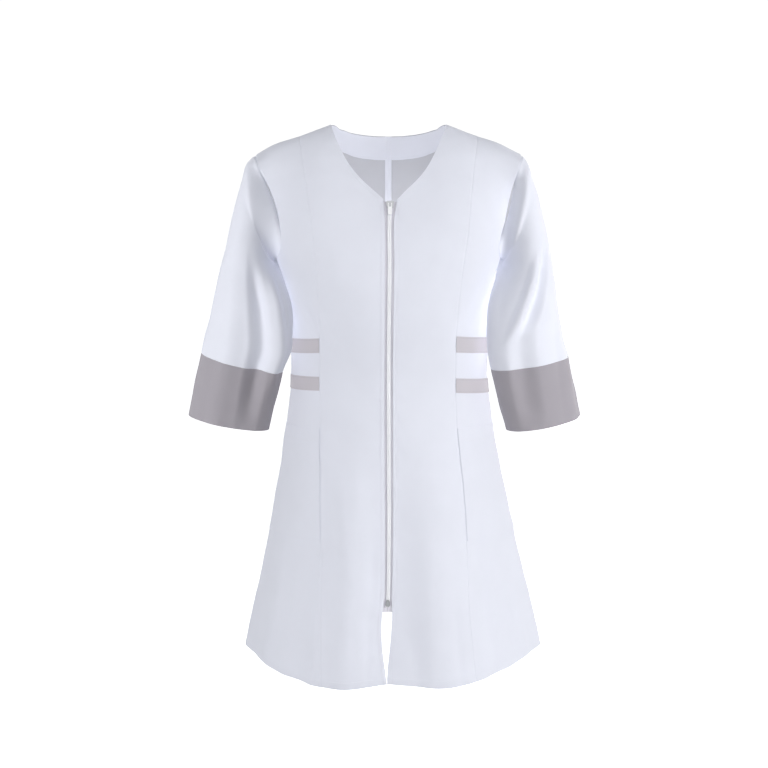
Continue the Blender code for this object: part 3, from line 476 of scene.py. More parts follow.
def surface(places, behind, side):
    """Points of the cloth at a grid of places, with the uneven front hem."""
    a = places[..., 0]
    d = places[..., 1]
    if not behind:
        d = d + spline(HEM_ROWS[side], np.abs(a))[..., 0] * ramp(d, HEM_START, HEM)
    return mirrored(body(a, d, behind, side), side)


def even_drops(table, column, start, end, count):
    """Drops that divide an edge curve into equal lengths."""
    fine = np.linspace(start, end, 200)
    along = lengths(spline(table, fine)[:, column], fine)
    return np.interp(np.linspace(0, along[-1], count + 1), along, fine)


def zip_edge(drop, side):
    middle, half = np.moveaxis(spline(ZIP_ROWS, drop), -1, 0)
    return side * middle + half


def neckline_places(side):
    drops = even_drops(NECKLINE_ROWS, 0, 0.0, NECK_DROP, NECK_ROWS_USED)
    middle = float(spline(ZIP_ROWS, NECK_DROP)[0])
    x = spline(NECKLINE_ROWS, drops)[:, 0] + side * middle * (drops / NECK_DROP) ** 2
    places = find(x, drops, 0, side)
    places[0] = (NECK_X / TIP_X, 0.0)
    return places


def princess_x(drop, side):
    """How far the princess seam is from the centre."""
    return spline(PRINCESS_ROWS, drop)[..., int(side > 0)]


def upper_princess(side):
    top = PRINCESS_ROWS[0][0]
    drops = even_drops(PRINCESS_ROWS, int(side > 0), top, BASE, UPPER_ROWS)
    places = find(princess_x(drops, side), drops, 0, side)
    places[0] = (float(princess_x(top, side)) / TIP_X, 0.0)
    return places


def armhole_places(side, behind):
    column = 2 if behind else int(side > 0)
    drops = even_drops(ARMHOLE_ROWS, column, ARMHOLE_ROWS[0][0], BASE, UPPER_ROWS)
    places = find(spline(ARMHOLE_ROWS, drops)[:, column], drops, behind, side)
    places[0] = (1.0, 0.0)
    places[-1] = (1.0, BASE)
    return places


LOWER_DROPS = np.linspace(BASE, HEM, LOWER_ROWS + 1)


def coons(upper_in, upper_out, top, lower_in, lower_out, share):
    """Places of a panel, row by row, from its edges; share divides each row."""
    last = len(upper_in) - 1
    v = np.linspace(0, 1, last + 1)[:, None, None]
    u = np.asarray(share)[None, :, None]
    flat = upper_in[last] * (1 - u) + upper_out[last] * u
    across = upper_in[:, None] * (1 - u) + upper_out[:, None] * u
    corner = (top[0] * (1 - u) + top[-1] * u) * (1 - v) + flat * v
    upper = across + np.asarray(top)[None] * (1 - v) + flat * v - corner
    lower = lower_in[1:, None] * (1 - u) + lower_out[1:, None] * u
    return np.concatenate([upper, lower])


def edge_share(width, steps):
    """Fractions of a row: close together beside both edges, even between them."""
    near = np.array([0.0, 0.8, 1.8, 3.0, 4.4, 5.6, 6.6, 8.0, 10.5])
    count = max(int((width - 2 * near[-1]) / steps), 2) + 1
    middle = np.linspace(near[-1], width - near[-1], count)
    return np.concatenate([near, middle[1:-1], width - near[::-1]]) / width


def grid_normals(points, outward_side):
    across = np.gradient(points, axis=1)
    down = np.gradient(points, axis=0)
    return unit(np.cross(down, across) * outward_side)


def edge_distances(points):
    """Distances along the cloth from the left, right, top and bottom edges."""
    step = np.linalg.norm(np.diff(points, axis=1), axis=-1)
    left = np.concatenate([np.zeros((len(points), 1)), np.cumsum(step, axis=1)], axis=1)
    fall = np.linalg.norm(np.diff(points, axis=0), axis=-1)
    top = np.concatenate([np.zeros((1, points.shape[1])), np.cumsum(fall, axis=0)])
    return {"left": left, "right": left[:, -1:] - left, "top": top, "bottom": top[-1:] - top}


def waves(points):
    """Small slow waves of the cloth: they depend on the place alone, so seams still meet."""
    total = np.zeros(points.shape[:-1])
    for length, height, way in UNEVEN:
        along = points @ unit(way) * (2 * math.pi / length)
        bend = np.sin(points @ np.array(DRIFT) * 2 + length)
        total = total + height * np.sin(along + 1.7 * bend)
    return total


def creases(points, behind):
    """Height of the creases that are placed by hand."""
    total = np.zeros(points.shape[:-1])
    x = points[..., 0]
    drop = -points[..., 2]
    for row_behind, x0, d0, x1, d1, half, height in CREASES:
        if row_behind == behind:
            length = math.hypot(x1 - x0, d1 - d0)
            way = ((x1 - x0) / length, (d1 - d0) / length)
            along = ((x - x0) * way[0] + (drop - d0) * way[1]) / length
            off = (x - x0) * way[1] - (drop - d0) * way[0]
            total = total + height * bump(off / half) * bump(2 * along - 1)
    return total


def seam_relief(distance, along, kind):
    """The dip at a plain seam, or the raised allowance at an edge stitched from outside."""
    if kind == "stitched":
        relief = 0.25 * (1 - ramp(distance, STITCH_FROM_EDGE - 0.6, STITCH_FROM_EDGE + 1.8))
        relief = relief - 0.3 * bump((distance - STITCH_FROM_EDGE) / 1.3)
        wave = np.sin(along * 2 * math.pi / ZIP_PUCKER_WAVE + 2 * np.sin(along / 67))
        return relief + ZIP_PUCKER * wave * bump((distance - 9) / 14)
    wave = np.sin(along * 2 * math.pi / PUCKER_WAVE + 2 * np.sin(along / 29))
    dip = 0
    if kind == "armhole":
        turn = along / along.max()
        at_back = ramp(turn, 0.48, 0.58) * (1 - ramp(turn, 0.92, 1))
        dip = ARMHOLE_DIP * (1 - 0.75 * at_back) * bump(distance / 4.5)
    return dip - 0.45 * bump(distance / 1.8) + PUCKER * wave * bump((distance - 4) / 9)


class Panel:
    """A piece of cloth: its grid of outer points, wall directions and edge distances."""

    def __init__(self, name, points, normal, thick, seams=(), edges=(), behind=None):
        self.name = name
        self.normal = normal
        self.distance = edge_distances(points)
        relief = waves(points)
        if behind is not None:
            relief = relief + creases(points, behind)
        for edge, kind in dict(seams).items():
            along = self.distance["top" if edge in ("left", "right") else "left"]
            relief = relief + seam_relief(self.distance[edge], along, kind)
        self.points = points + self.normal * relief[..., None]
        self.flat = points
        self.edges = edges
        self.thick = thick

    def area(self):
        p = self.flat
        first = np.cross(p[1:, :-1] - p[:-1, :-1], p[1:, 1:] - p[:-1, :-1])
        second = np.cross(p[1:, 1:] - p[:-1, :-1], p[:-1, 1:] - p[:-1, :-1])
        total = np.linalg.norm(first, axis=-1).sum() + np.linalg.norm(second, axis=-1).sum()
        return float(total) / 2 * MM * MM


def set_back(grid, edges):
    """The grid with these edges moved into the piece by half of a seam's gap."""
    out = grid.copy()
    for edge, here, inner in (("left", np.s_[:, 0], np.s_[:, 1]),
                              ("right", np.s_[:, -1], np.s_[:, -2]),
                              ("top", np.s_[0], np.s_[1]), ("bottom", np.s_[-1], np.s_[-2])):
        if edge in edges:
            out[here] += unit(grid[inner] - grid[here]) * SEAM_HALF
    return out


def rim_loop(rows, columns, wrap):
    if wrap:
        return [[(0, i) for i in range(columns)][::-1], [(rows - 1, i) for i in range(columns)]]
    ring = [(j, 0) for j in range(rows)]
    ring += [(rows - 1, i) for i in range(1, columns)]
    ring += [(j, columns - 1) for j in range(rows - 2, -1, -1)]
    ring += [(0, i) for i in range(columns - 2, 0, -1)]
    return [ring]


def grid_quads(rows, columns, wrap):
    """Four-cornered faces between the points of a grid; wrap closes its rows."""
    j, i = np.meshgrid(np.arange(rows - 1), np.arange(columns if wrap else columns - 1),
                       indexing="ij")
    k = (i + 1) % columns
    return np.stack([j * columns + i, (j + 1) * columns + i, (j + 1) * columns + k,
                     j * columns + k], -1).reshape(-1, 4)


def cloth_mesh(outer, inner, wrap):
    """Points and faces of a closed wall with a half round rim, and the rim's grid points."""
    rows, columns = outer.shape[:2]
    front, rear = outer.reshape(-1, 3), inner.reshape(-1, 3)
    back = rows * columns
    quads = grid_quads(rows, columns, wrap)
    points, faces, rims = [front, rear], [quads, back + quads[:, ::-1]], []
    count = 2 * back
    for ring in rim_loop(rows, columns, wrap):
        j, i = np.array(ring).T
        flat = j * columns + i
        inside = outer[np.clip(j, 1, rows - 2), i if wrap else np.clip(i, 1, columns - 2)]
        wall = np.linalg.norm(front[flat] - rear[flat], axis=-1, keepdims=True)
        away = unit(front[flat] - inside) * wall * RIM_BULGE
        points.append((front[flat] + rear[flat]) / 2 + away)
        here = count + np.arange(len(flat))
        after = np.roll(here, -1)
        flat_after = np.roll(flat, -1)
        faces.append(np.stack([flat_after, flat, here, after], -1))
        faces.append(np.stack([after, here, back + flat, back + flat_after], -1))
        count += len(flat)
        rims.append(flat)
    return np.concatenate(points), np.concatenate(faces), np.concatenate(rims)


def new_object(name, points, faces, material, uv=None, closed=True):
    """An object from millimetres, its faces outwards; uv is in metres for each point."""
    mesh = bpy.data.meshes.new(name)
    mesh.from_pydata((np.asarray(points, float) * MM).tolist(), [], faces)
    mesh.polygons.foreach_set("use_smooth", [True] * len(mesh.polygons))
    if uv is not None:
        layer = mesh.uv_layers.new(name="cloth")
        loops = np.empty(len(mesh.loops), int)
        mesh.loops.foreach_get("vertex_index", loops)
        layer.data.foreach_set("uv", np.asarray(uv, float)[loops].reshape(-1))
    mesh.materials.append(material)
    mesh.validate()
    mesh.update()
    if closed:
        mesh.calc_loop_triangles()
        corner = np.empty(len(mesh.loop_triangles) * 3, int)
        mesh.loop_triangles.foreach_get("vertices", corner)
        place = np.empty(len(mesh.vertices) * 3)
        mesh.vertices.foreach_get("co", place)
        tri = place.reshape(-1, 3)[corner].reshape(-1, 3, 3)
        if (tri[:, 0] * np.cross(tri[:, 1], tri[:, 2])).sum() < 0:
            mesh.flip_normals()
            mesh.update()
    thing = bpy.data.objects.new(name, mesh)
    bpy.context.scene.collection.objects.link(thing)
    return thing


def tube_faces(rings, sides):
    """Faces of a tube of rings, with flat ends."""
    return (grid_quads(rings, sides, True).tolist() + [list(range(sides))]
            + [[(rings - 1) * sides + i for i in range(sides)][::-1]])


def rings_round(middles, first, second, sides, radius=1.0):
    """Rings of points round the middles, in the plane of two directions."""
    around = np.linspace(0, 2 * math.pi, sides, endpoint=False)[:, None]
    return middles[:, None] + radius * (np.cos(around) * first[:, None]
                                        + np.sin(around) * second[:, None])


def at_places(place, along, values):
    """Points or directions of a line at distances along it."""
    return np.stack([np.interp(place, along, values[:, k]) for k in range(3)], -1)


def edge_line(panel, edge, off):
    """Points and directions on the outside of a panel at a distance from one edge."""
    grids = [panel.distance[edge], panel.points, panel.normal]
    if edge in ("top", "bottom"):
        grids = [grid.swapaxes(0, 1) for grid in grids]
    if edge in ("right", "bottom"):
        grids = [grid[:, ::-1] for grid in grids]
    points, normal = (np.array([at_places(off, *row) for row in zip(grids[0], grid)])
                      for grid in grids[1:])
    return points, unit(normal)


SEWN = {}
STITCH_PROFILE = (
    # place along the stitch, thickness, rise: both ends sink into the cloth
    (-0.5, 0.25, -0.22), (-0.34, 0.85, 0.0), (0.0, 1.0, 0.1), (0.34, 0.85, 0.0),
    (0.5, 0.25, -0.22),
)


def add_stitches(name, panel, edge, off, reach=math.inf):
    """A row of stitches at a distance from a panel's edge, as far out as reach."""
    points, normal = edge_line(panel, edge, off)
    near = np.abs(points[:, 0]) < reach
    add_row(name, points[near], normal[near])


def add_row(name, points, normal):
    along = np.concatenate([[0], np.cumsum(np.linalg.norm(np.diff(points, axis=0), axis=-1))])
    count = int((along[-1] - 2) / STITCH_PITCH)
    middles = 1 + STITCH_PITCH * (np.arange(count) + 0.5)
    rings = []
    for place, size, rise in STITCH_PROFILE:
        at = middles + place * STITCH_LENGTH
        spot = at_places(at, along, points)
        up = unit(at_places(at, along, normal))
        side = unit(np.cross(up, at_places(at + 0.5, along, points) - spot))
        spot = spot + up * (THREAD * 0.55 + rise)
        rings.append(rings_round(spot, side, up, THREAD_SIDES, THREAD * size))
    each = np.stack(rings, 1)
    pattern = tube_faces(len(STITCH_PROFILE), THREAD_SIDES)
    size = len(STITCH_PROFILE) * THREAD_SIDES
    blocks, faces = SEWN.setdefault(name, ([], []))
    start = sum(len(block) for block in blocks)
    blocks.append(each.reshape(-1, 3))
    for k in range(count):
        faces.extend([[start + k * size + v for v in face] for face in pattern])


def sew(name, material):
    """Makes one piece of all rows of stitches that were added under a name."""
    blocks, faces = SEWN.pop(name)
    finish_piece(new_object(name, np.concatenate(blocks), faces, material))


def make_cloth(panel, material, wrap=False, shaded_inside_material=None):
    """The visible piece of a panel, with its wall and rim; its inner face may be darker: painted
    shade.
    """
    outer = set_back(panel.points, panel.edges)
    wall = panel.normal * np.asarray(panel.thick)[..., None]
    inner = set_back(panel.points - wall, panel.edges)
    points, faces, rim = cloth_mesh(outer, inner, wrap)
    distance = edge_distances(panel.flat)
    flat = np.stack([distance["left"], distance["top"]], -1).reshape(-1, 2) * MM
    thing = new_object(panel.name + "_cloth", points, faces.tolist(), material,
                       np.concatenate([flat, flat, flat[rim]]))
    # Inner wall faces get a darker copy of the cloth: painted shade of the hollow inside.
    if shaded_inside_material:
        thing.data.materials.append(shaded_inside_material)
        wall_faces = (len(faces) - 2 * len(rim)) // 2
        inside = np.zeros(len(faces), int)
        inside[wall_faces:2 * wall_faces] = 1
        thing.data.polygons.foreach_set("material_index", inside)
    thing.data.set_sharp_from_angle(angle=math.radians(50))
    return thing


def node(tree, kind, inputs=(), **settings):
    """A new shader node; each input is a value, or the socket that is linked to it."""
    made = tree.nodes.new("ShaderNode" + kind)
    for key, value in settings.items():
        setattr(made, key, value)
    for socket, value in dict(inputs).items():
        if isinstance(value, bpy.types.NodeSocket):
            tree.links.new(value, made.inputs[socket])
        else:
            made.inputs[socket].default_value = value
    return made


class Nodes:
    """Short calls for building a material's node tree."""

    def __init__(self, name):
        self.material = bpy.data.materials.new(name)
        self.material.use_nodes = True
        self.tree = self.material.node_tree
        self.shader = self.tree.nodes["Principled BSDF"]

    def add(self, kind, inputs=(), **settings):
        return node(self.tree, kind, inputs, **settings).outputs[0]

    def place(self):
        """The object's own coordinates."""
        return node(self.tree, "TexCoord").outputs["Object"]

    def math(self, operation, first, second):
        return self.add("Math", {0: first, 1: second}, operation=operation)

    def blend(self, *parts):
        """The sum of two values, each times its share."""
        first, second = (self.math("MULTIPLY", value, share) for value, share in parts)
        return self.math("ADD", first, second)

    def stretched(self, vector, *scale):
        return self.add("Mapping", {"Vector": vector, "Scale": scale})

    def noise(self, vector, scale, detail=2.0):
        return self.add("TexNoise", {"Vector": vector, "Scale": scale, "Detail": detail})

    def wave(self, vector, period, direction):
        """Bands of a period in metres; a diagonal one counts its two axes together."""
        turns = 10 if direction == "DIAGONAL" else 20
        return node(self.tree, "TexWave", {"Vector": vector,
                                           "Scale": 2 * math.pi / (turns * period)},
                    bands_direction=direction).outputs[1]

    def between(self, factor, low, high):
        return self.add("MapRange", {"Value": factor, "To Min": low, "To Max": high})

    def tint(self, factor, colour, low, high):
        """The colour times a value between low and high."""
        grey = self.add("CombineXYZ", dict.fromkeys(range(3), self.between(factor, low, high)))
        return self.add("VectorMath", {0: grey, 1: colour}, operation="MULTIPLY")

    def finish(self, colour, roughness, height, bump_size, strength, **constants):
        bumps = self.add("Bump", {"Height": height, "Distance": bump_size, "Strength": strength})
        for socket, value in (("Base Color", colour), ("Roughness", roughness),
                              ("Normal", bumps)):
            self.tree.links.new(value, self.shader.inputs[socket])
        for socket, value in constants.items():
            self.shader.inputs[socket.replace("_", " ")].default_value = value
        return self.material


def cloth_material(name, colour, sheen=0.2):
    """Twill: diagonal wales, yarns, slubs, faint unevenness of tone and a soft nap."""
    n = Nodes(name)
    place = n.add("UVMap", uv_map="cloth")
    wales = n.wave(place, 0.00062 * math.sqrt(2), "DIAGONAL")
    yarns = n.wave(place, 0.00034, "X")
    slubs = n.noise(n.stretched(place, 1.0, 0.09, 1.0), 1500.0, 3.0)
    patches = n.noise(n.place(), 16.0, 3.0)
    nap = n.noise(place, 5200.0)
    rough = n.blend((n.blend((wales, 0.62), (yarns, 0.38)), 0.6), (slubs, 0.4))
    tone = n.math("ADD", n.math("MULTIPLY", patches, 0.45), n.blend((rough, 0.35), (nap, 0.2)))
    height = n.math("ADD", rough, n.math("MULTIPLY", nap, 0.3))
    return n.finish(n.tint(tone, colour, 0.93, 1.05), n.between(patches, 0.78, 0.92),
                    height, 0.00016, 0.45, Sheen_Weight=sheen, Sheen_Roughness=0.5,
                    Specular_IOR_Level=0.22)


def tape_material(name, colour):
    """Zip tape: fine ribs across and a selvedge grain along it."""
    n = Nodes(name)
    place = n.add("UVMap", uv_map="cloth")
    grain = n.noise(place, 2600.0)
    height = n.blend((n.wave(place, 0.0008, "Y"), 0.6), (n.wave(place, 0.0006, "X"), 0.4))
    return n.finish(n.tint(n.blend((height, 0.6), (grain, 0.4)), colour, 0.88, 1.04),
                    n.between(grain, 0.66, 0.84), height, 0.0002, 0.5, Sheen_Weight=0.1,
                    Specular_IOR_Level=0.3)


def thread_material(name, colour, roughness=0.55):
    """Twisted thread or moulded coil: a fine grain and a slight gloss."""
    n = Nodes(name)
    grain = n.noise(n.place(), 3000.0)
    return n.finish(n.tint(grain, colour, 0.93, 1.04),
                    n.between(grain, roughness - 0.07, roughness + 0.07),
                    n.wave(n.place(), 0.0004, "DIAGONAL"), 0.00006, 0.5, Sheen_Weight=0.1)


def metal_material(name, colour, roughness):
    """Plated metal: fine brushing, faint stains and small differences of gloss."""
    n = Nodes(name)
    brushed = n.noise(n.stretched(n.place(), 1.0, 1.0, 0.06), 6000.0, 3.0)
    tone = n.blend((brushed, 0.4), (n.noise(n.place(), 420.0, 3.0), 0.6))
    return n.finish(n.tint(tone, colour, 0.86, 1.06),
                    n.between(tone, roughness - 0.08, roughness + 0.12), brushed, 0.00002, 0.4,
                    Metallic=1.0)


WHITE = cloth_material("white_twill", (0.80, 0.815, 0.89))
# Inner faces: the cloth's slightly duller wrong side, darkened much further as painted shade of
# the hollow inside.
WHITE_INSIDE_SHADED = cloth_material("white_twill_inside", (0.58, 0.585, 0.625), sheen=0.1)
GREY = cloth_material("grey_twill", (0.385, 0.362, 0.395))
PALE_GREY = cloth_material("pale_grey_twill", (0.59, 0.56, 0.595))
TAPE = tape_material("zip_tape_weave", (0.90, 0.88, 0.95))
COIL = thread_material("zip_coil_nylon", (0.95, 0.955, 0.98), 0.38)
WHITE_THREAD = thread_material("white_thread", (0.80, 0.81, 0.87))
GREY_THREAD = thread_material("grey_thread", (0.46, 0.435, 0.47))
NICKEL = metal_material("satin_nickel", (0.82, 0.83, 0.85), 0.3)
# The slider: the same nickel darkened as painted shade of its recesses.
SHADED_SLIDER_NICKEL = metal_material("worn_nickel", (0.52, 0.53, 0.55), 0.3)
DARK_NICKEL = metal_material("dark_nickel", (0.26, 0.27, 0.28), 0.34)


def finish_piece(thing, nodes=()):
    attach(thing, "garment")
    if nodes:
        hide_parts(*nodes)
    return thing


def sheet(panel, material, nodes=(), wrap=False, shaded_inside_material=None):
    """Makes a panel's visible piece, in place of these nodes; its flat size is worked out but
    not kept.
    """
    thing = finish_piece(make_cloth(panel, material, wrap, shaded_inside_material), nodes)
    width, length = (round(float(far.max()) * MM, 3)
                     for far in (panel.distance["left"][:, -1], panel.distance["top"][-1]))
    min(panel.area(), width * length)


def front_grids(side):
    """Grids of points of the centre front and the side front."""
    zip_drops = np.linspace(NECK_DROP, BASE, UPPER_ROWS - NECK_ROWS_USED + 1)[1:]
    upper_in = np.concatenate([neckline_places(side),
                               find(zip_edge(zip_drops, side), zip_drops, 0, side)])
    lower_in = find(zip_edge(LOWER_DROPS, side), LOWER_DROPS, 0, side)
    princess = upper_princess(side)
    lower_princess = find(princess_x(LOWER_DROPS, side), LOWER_DROPS, 0, side)
    share = edge_share(105.0, 4.0)
    top = upper_in[0] * (1 - share[:, None]) + princess[0] * share[:, None]
    centre = coons(upper_in, princess, top, lower_in, lower_princess, share)
    share = edge_share(95.0, 4.0)
    top = princess[0] * (1 - share[:, None]) + np.array([1.0, 0.0]) * share[:, None]
    seam = np.stack([np.ones_like(LOWER_DROPS), LOWER_DROPS], -1)
    side_front = coons(princess, armhole_places(side, 0), top, lower_princess, seam, share)
    return surface(centre, 0, side), surface(side_front, 0, side)


def back_grid(side):
    share = edge_share(290.0, 4.5)
    neck_x = np.array(BACK_NECK_COLUMNS)
    coarse = find(neck_x, spline(BACK_NECK_ROWS, neck_x)[:, 0], 1, side)
    shoulder = np.linspace(NECK_X, TIP_X, BACK_COLUMNS - len(neck_x) + 1) / TIP_X
    coarse = np.concatenate([coarse, np.stack([shoulder, np.zeros_like(shoulder)], -1)])
    columns = np.linspace(0, 1, BACK_COLUMNS + 1)
    top = np.stack([np.interp(share, columns, coarse[:, k]) for k in (0, 1)], -1)
    centre_drops = np.linspace(BACK_NECK_ROWS[0][1], BASE, UPPER_ROWS + 1)
    upper_in = find(np.zeros_like(centre_drops), centre_drops, 1, side)
    centre, seam = (np.stack([np.full_like(LOWER_DROPS, a), LOWER_DROPS], -1) for a in (0, 1))
    return surface(coons(upper_in, armhole_places(side, 1), top, centre, seam, share), 1, side)


def hem_thickness(grid):
    """The wall is doubled over the turned-up hem."""
    bottom = edge_distances(grid)["bottom"]
    return CLOTH * (1 + 0.9 * (1 - ramp(bottom, HEM_DEPTH, HEM_DEPTH + 1.5)))


def make_body_panels():
    panels = {}
    for side, name in SIDES.items():
        centre, side_front = front_grids(side)
        for kind, grid, outward, left, edges, behind in (
                ("front_centre", centre, side, "stitched", ("right", "top"), 0),
                ("front_side", side_front, side, "plain", ("left", "right", "top"), 0),
                ("back", back_grid(side), -side, "plain", ("left", "right", "top"), 1)):
            panels[kind, side] = Panel(
                kind + "_" + name, grid, grid_normals(grid, outward), hem_thickness(grid),
                {"left": left, "right": "plain"}, edges, behind)
    return panels


def ring_of(side):
    """Points round the armhole, from the shoulder down the front and up the back."""
    front = surface(armhole_places(side, 0), 0, side)
    back = surface(armhole_places(side, 1), 1, side)
    return np.concatenate([front, back[-2:0:-1]])


def sleeve_ring(row, turns):
    _, ox, oy, od, ix, iy, idrop, front, behind = row
    outer = np.array([ox, oy, -od])
    inner = np.array([ix, iy, -idrop])
    half = (outer - inner) / 2
    facing = unit(np.array([-half[1], half[0], 0.0]))
    if facing[1] > 0:
        facing = -facing
    depth = np.where(np.sin(turns) > 0, front, behind)
    return ((outer + inner) / 2 + np.cos(turns)[:, None] * half
            + (np.sin(turns) * depth)[:, None] * facing)


def clear_of_body(points, side, clearance):
    """Sleeve points moved outwards until they clear the body cloth."""
    points = points.copy()
    for j in range(points.shape[0]):
        for i in range(points.shape[1]):
            drop = -points[j, i, 2]
            if drop < BASE or clearance[j] <= 0:
                continue
            x = side * points[j, i, 0]
            y = points[j, i, 1]
            table = SECTIONS[int(y > 0), side]
            row = table[min(int(round((drop - BASE) / SECTION_STEP)), len(table) - 1)]
            turns = np.arctan2(row[:, 0], np.abs(row[:, 1]))
            reach = np.interp(math.atan2(x, abs(y)), turns, np.hypot(row[:, 0], row[:, 1]))
            here = math.hypot(x, y)
            if here < reach + clearance[j]:
                points[j, i, :2] *= (reach + clearance[j]) / here
    return points


def tube_normals(grid, side):
    around = np.roll(grid, -1, axis=1) - np.roll(grid, 1, axis=1)
    down = np.gradient(grid, axis=0)
    return unit(np.cross(around, down) * side)


def sleeve_grid(side, stations):
    loop = ring_of(side)
    turns = np.linspace(0, 2 * math.pi, len(loop), endpoint=False)
    flip = np.array([side, 1, 1])
    rows = [np.append(0.0, loop)] + [np.append(row[0], sleeve_ring(row, turns) * flip)
                                     for row in SLEEVE_ROWS[side]]
    grid = spline(rows, stations).reshape(len(stations), len(loop), 3)
    grid = clear_of_body(grid, side, SLEEVE_CLEAR * ramp(stations, 0, 30))
    out = tube_normals(grid, side)
    for fold_side, turn_a, turn_b, width, start, end, height in SLEEVE_FOLDS:
        if fold_side == side:
            t = np.clip((stations - start) / (end - start), 0, 1)[:, None]
            centre = turn_a + (turn_b - turn_a) * t
            strength = ramp(t, 0, 0.35) * (1 - ramp(t, 0.7, 1))
            push = height * bump((np.degrees(turns) - centre) / width) * strength
            grid = grid + out * push[..., None]
    return grid


def make_sleeves():
    """Sleeves and cuffs; their rows are closer together beside each seam."""
    upper = np.concatenate([[0.0, 1.0, 2.2, 3.6, 5.5],
                            np.arange(8.0, SLEEVE_SEAM - 6, SLEEVE_STEP),
                            SLEEVE_SEAM - np.array([4, 2, 0.9, 0])])
    lower = np.concatenate([SLEEVE_SEAM + np.array([0, 1, 2.5]),
                            np.linspace(SLEEVE_SEAM + 5, CUFF_END - 4, 20),
                            CUFF_END - np.array([2, 0.8, 0])])
    for side, name in SIDES.items():
        for label, stations, thick, material, slot, inside, seams in (
                # Sleeves get the darker inside copy, painted shade on their inner faces; cuffs
                # keep one colour.
                ("sleeve_", upper, CLOTH, WHITE, "white_cloth", WHITE_INSIDE_SHADED,
                 {"top": "armhole", "bottom": "plain"}),
                ("cuff_", lower, CUFF_CLOTH, GREY, "grey_cloth", None, {"top": "plain"})):
            grid = sleeve_grid(side, stations)
            panel = Panel(label + name, grid, tube_normals(grid, side), thick, seams, seams)
            sheet(panel, material, [label + name], True, inside)


def make_patches():
    """Waist strips and pockets, laid on the side fronts."""
    for rows, material, slot, step, thread, top_row in (
            (STRIP_ROWS, PALE_GREY, "grey_cloth", 3.0, GREY_THREAD, PATCH_STITCH),
            (POCKET_ROWS, WHITE, "white_cloth", 4.0, WHITE_THREAD, POCKET_HEM)):
        for name, side, in_top, in_low, out_top, out_low in rows:
            u = np.linspace(0.012, 0.988, 24)[None, :]
            v = np.linspace(0, 1, int((in_low - in_top) / step) + 1)[:, None]
            drop = ((in_top + (in_low - in_top) * v) * (1 - u)
                    + (out_top + (out_low - out_top) * v) * u)
            seam_a = find(princess_x(drop, side), drop, 0, side)[..., 0]
            grid = surface(np.stack([seam_a * (1 - u) + u, drop], -1), 0, side)
            panel = Panel(name, grid, grid_normals(grid, side), PATCH_CLOTH, behind=0)
            panel.points = panel.points + panel.normal * (PATCH_CLOTH + 0.15)
            sheet(panel, material, [name])
            add_stitches("thread_" + name, panel, "top", top_row)
            add_stitches("thread_" + name, panel, "bottom", PATCH_STITCH)
            sew("thread_" + name, thread)


def zip_points(drops, offset, height):
    """Points beside the zip's middle, height above the outer face of the fronts."""
    x = spline(ZIP_ROWS, drops)[..., 0] + offset
    points = np.empty(drops.shape + (3,))
    for side in SIDES:
        mine = (x >= 0) == (side > 0)
        if mine.any():
            places = find(np.abs(x[mine]), drops[mine], 0, side)
            points[mine] = surface(places, 0, side)
    step = np.gradient(points, axis=0) * np.array([0, 1, 1])
    out = unit(np.cross(unit(step), ACROSS))
    return points + out * (height + waves(points) + creases(points, 0))[..., None]


def make_tapes():
    drops = np.linspace(TAPE_START, ZIP_END + TAPE_TAIL, 240)
    offsets = (0.35, 1.2, 2.4, 3.6, 4.6, 6.0, 8.0, 10.0, 12.5, 15.0)
    for side, name in SIDES.items():
        grid = np.stack([zip_points(drops, side * o, -TAPE_DEPTH) for o in offsets], 1)
        panel = Panel("zip_tape_" + name, grid, grid_normals(grid, side), TAPE_CLOTH)
        panel.points = grid
        sheet(panel, TAPE, ["zip_tape_" + name])
        add_stitches("thread_zip_" + name, panel, "left", TAPE_STITCH)
        sew("thread_zip_" + name, WHITE_THREAD)
        make_coil(side, name)


def make_coil(side, name):
    """One half of the zip's chain, with its cord: it meets the other half turn by turn."""
    end = ZIP_END - COIL_END_GAP
    count = int((end - COIL_START) / COIL_PITCH * COIL_POINTS)
    base = zip_points(np.linspace(COIL_START, end, count), np.zeros(count), 0.1 - TAPE_DEPTH)
    along = unit(np.gradient(base, axis=0))
    out = unit(np.cross(along, ACROSS))
    phase = (np.arange(count) / COIL_POINTS + (0.5 if side > 0 else 0.0)) * 2 * math.pi
    path = base + out * (COIL_WIRE + COIL_RISE * (1 + np.sin(phase)))[:, None]
    path[:, 0] += side * (COIL_MIDDLE - COIL_REACH * np.cos(phase))
    way = unit(np.gradient(path, axis=0))
    first = unit(np.cross(way, along))
    coil = rings_round(path, first, np.cross(way, first), THREAD_SIDES, COIL_WIRE)
    middle = (base + out * (COIL_WIRE + COIL_RISE))[::COIL_POINTS]
    middle[:, 0] += side * COIL_MIDDLE
    wide = np.broadcast_to(CORE[0] * ACROSS, middle.shape)
    cord = rings_round(middle, wide, CORE[1] * out[::COIL_POINTS], CORE_SIDES)
    for label, rings in (("zip_coil_", coil), ("zip_cord_", cord)):
        faces = tube_faces(*rings.shape[:2])
        finish_piece(new_object(label + name, rings.reshape(-1, 3), faces, COIL))


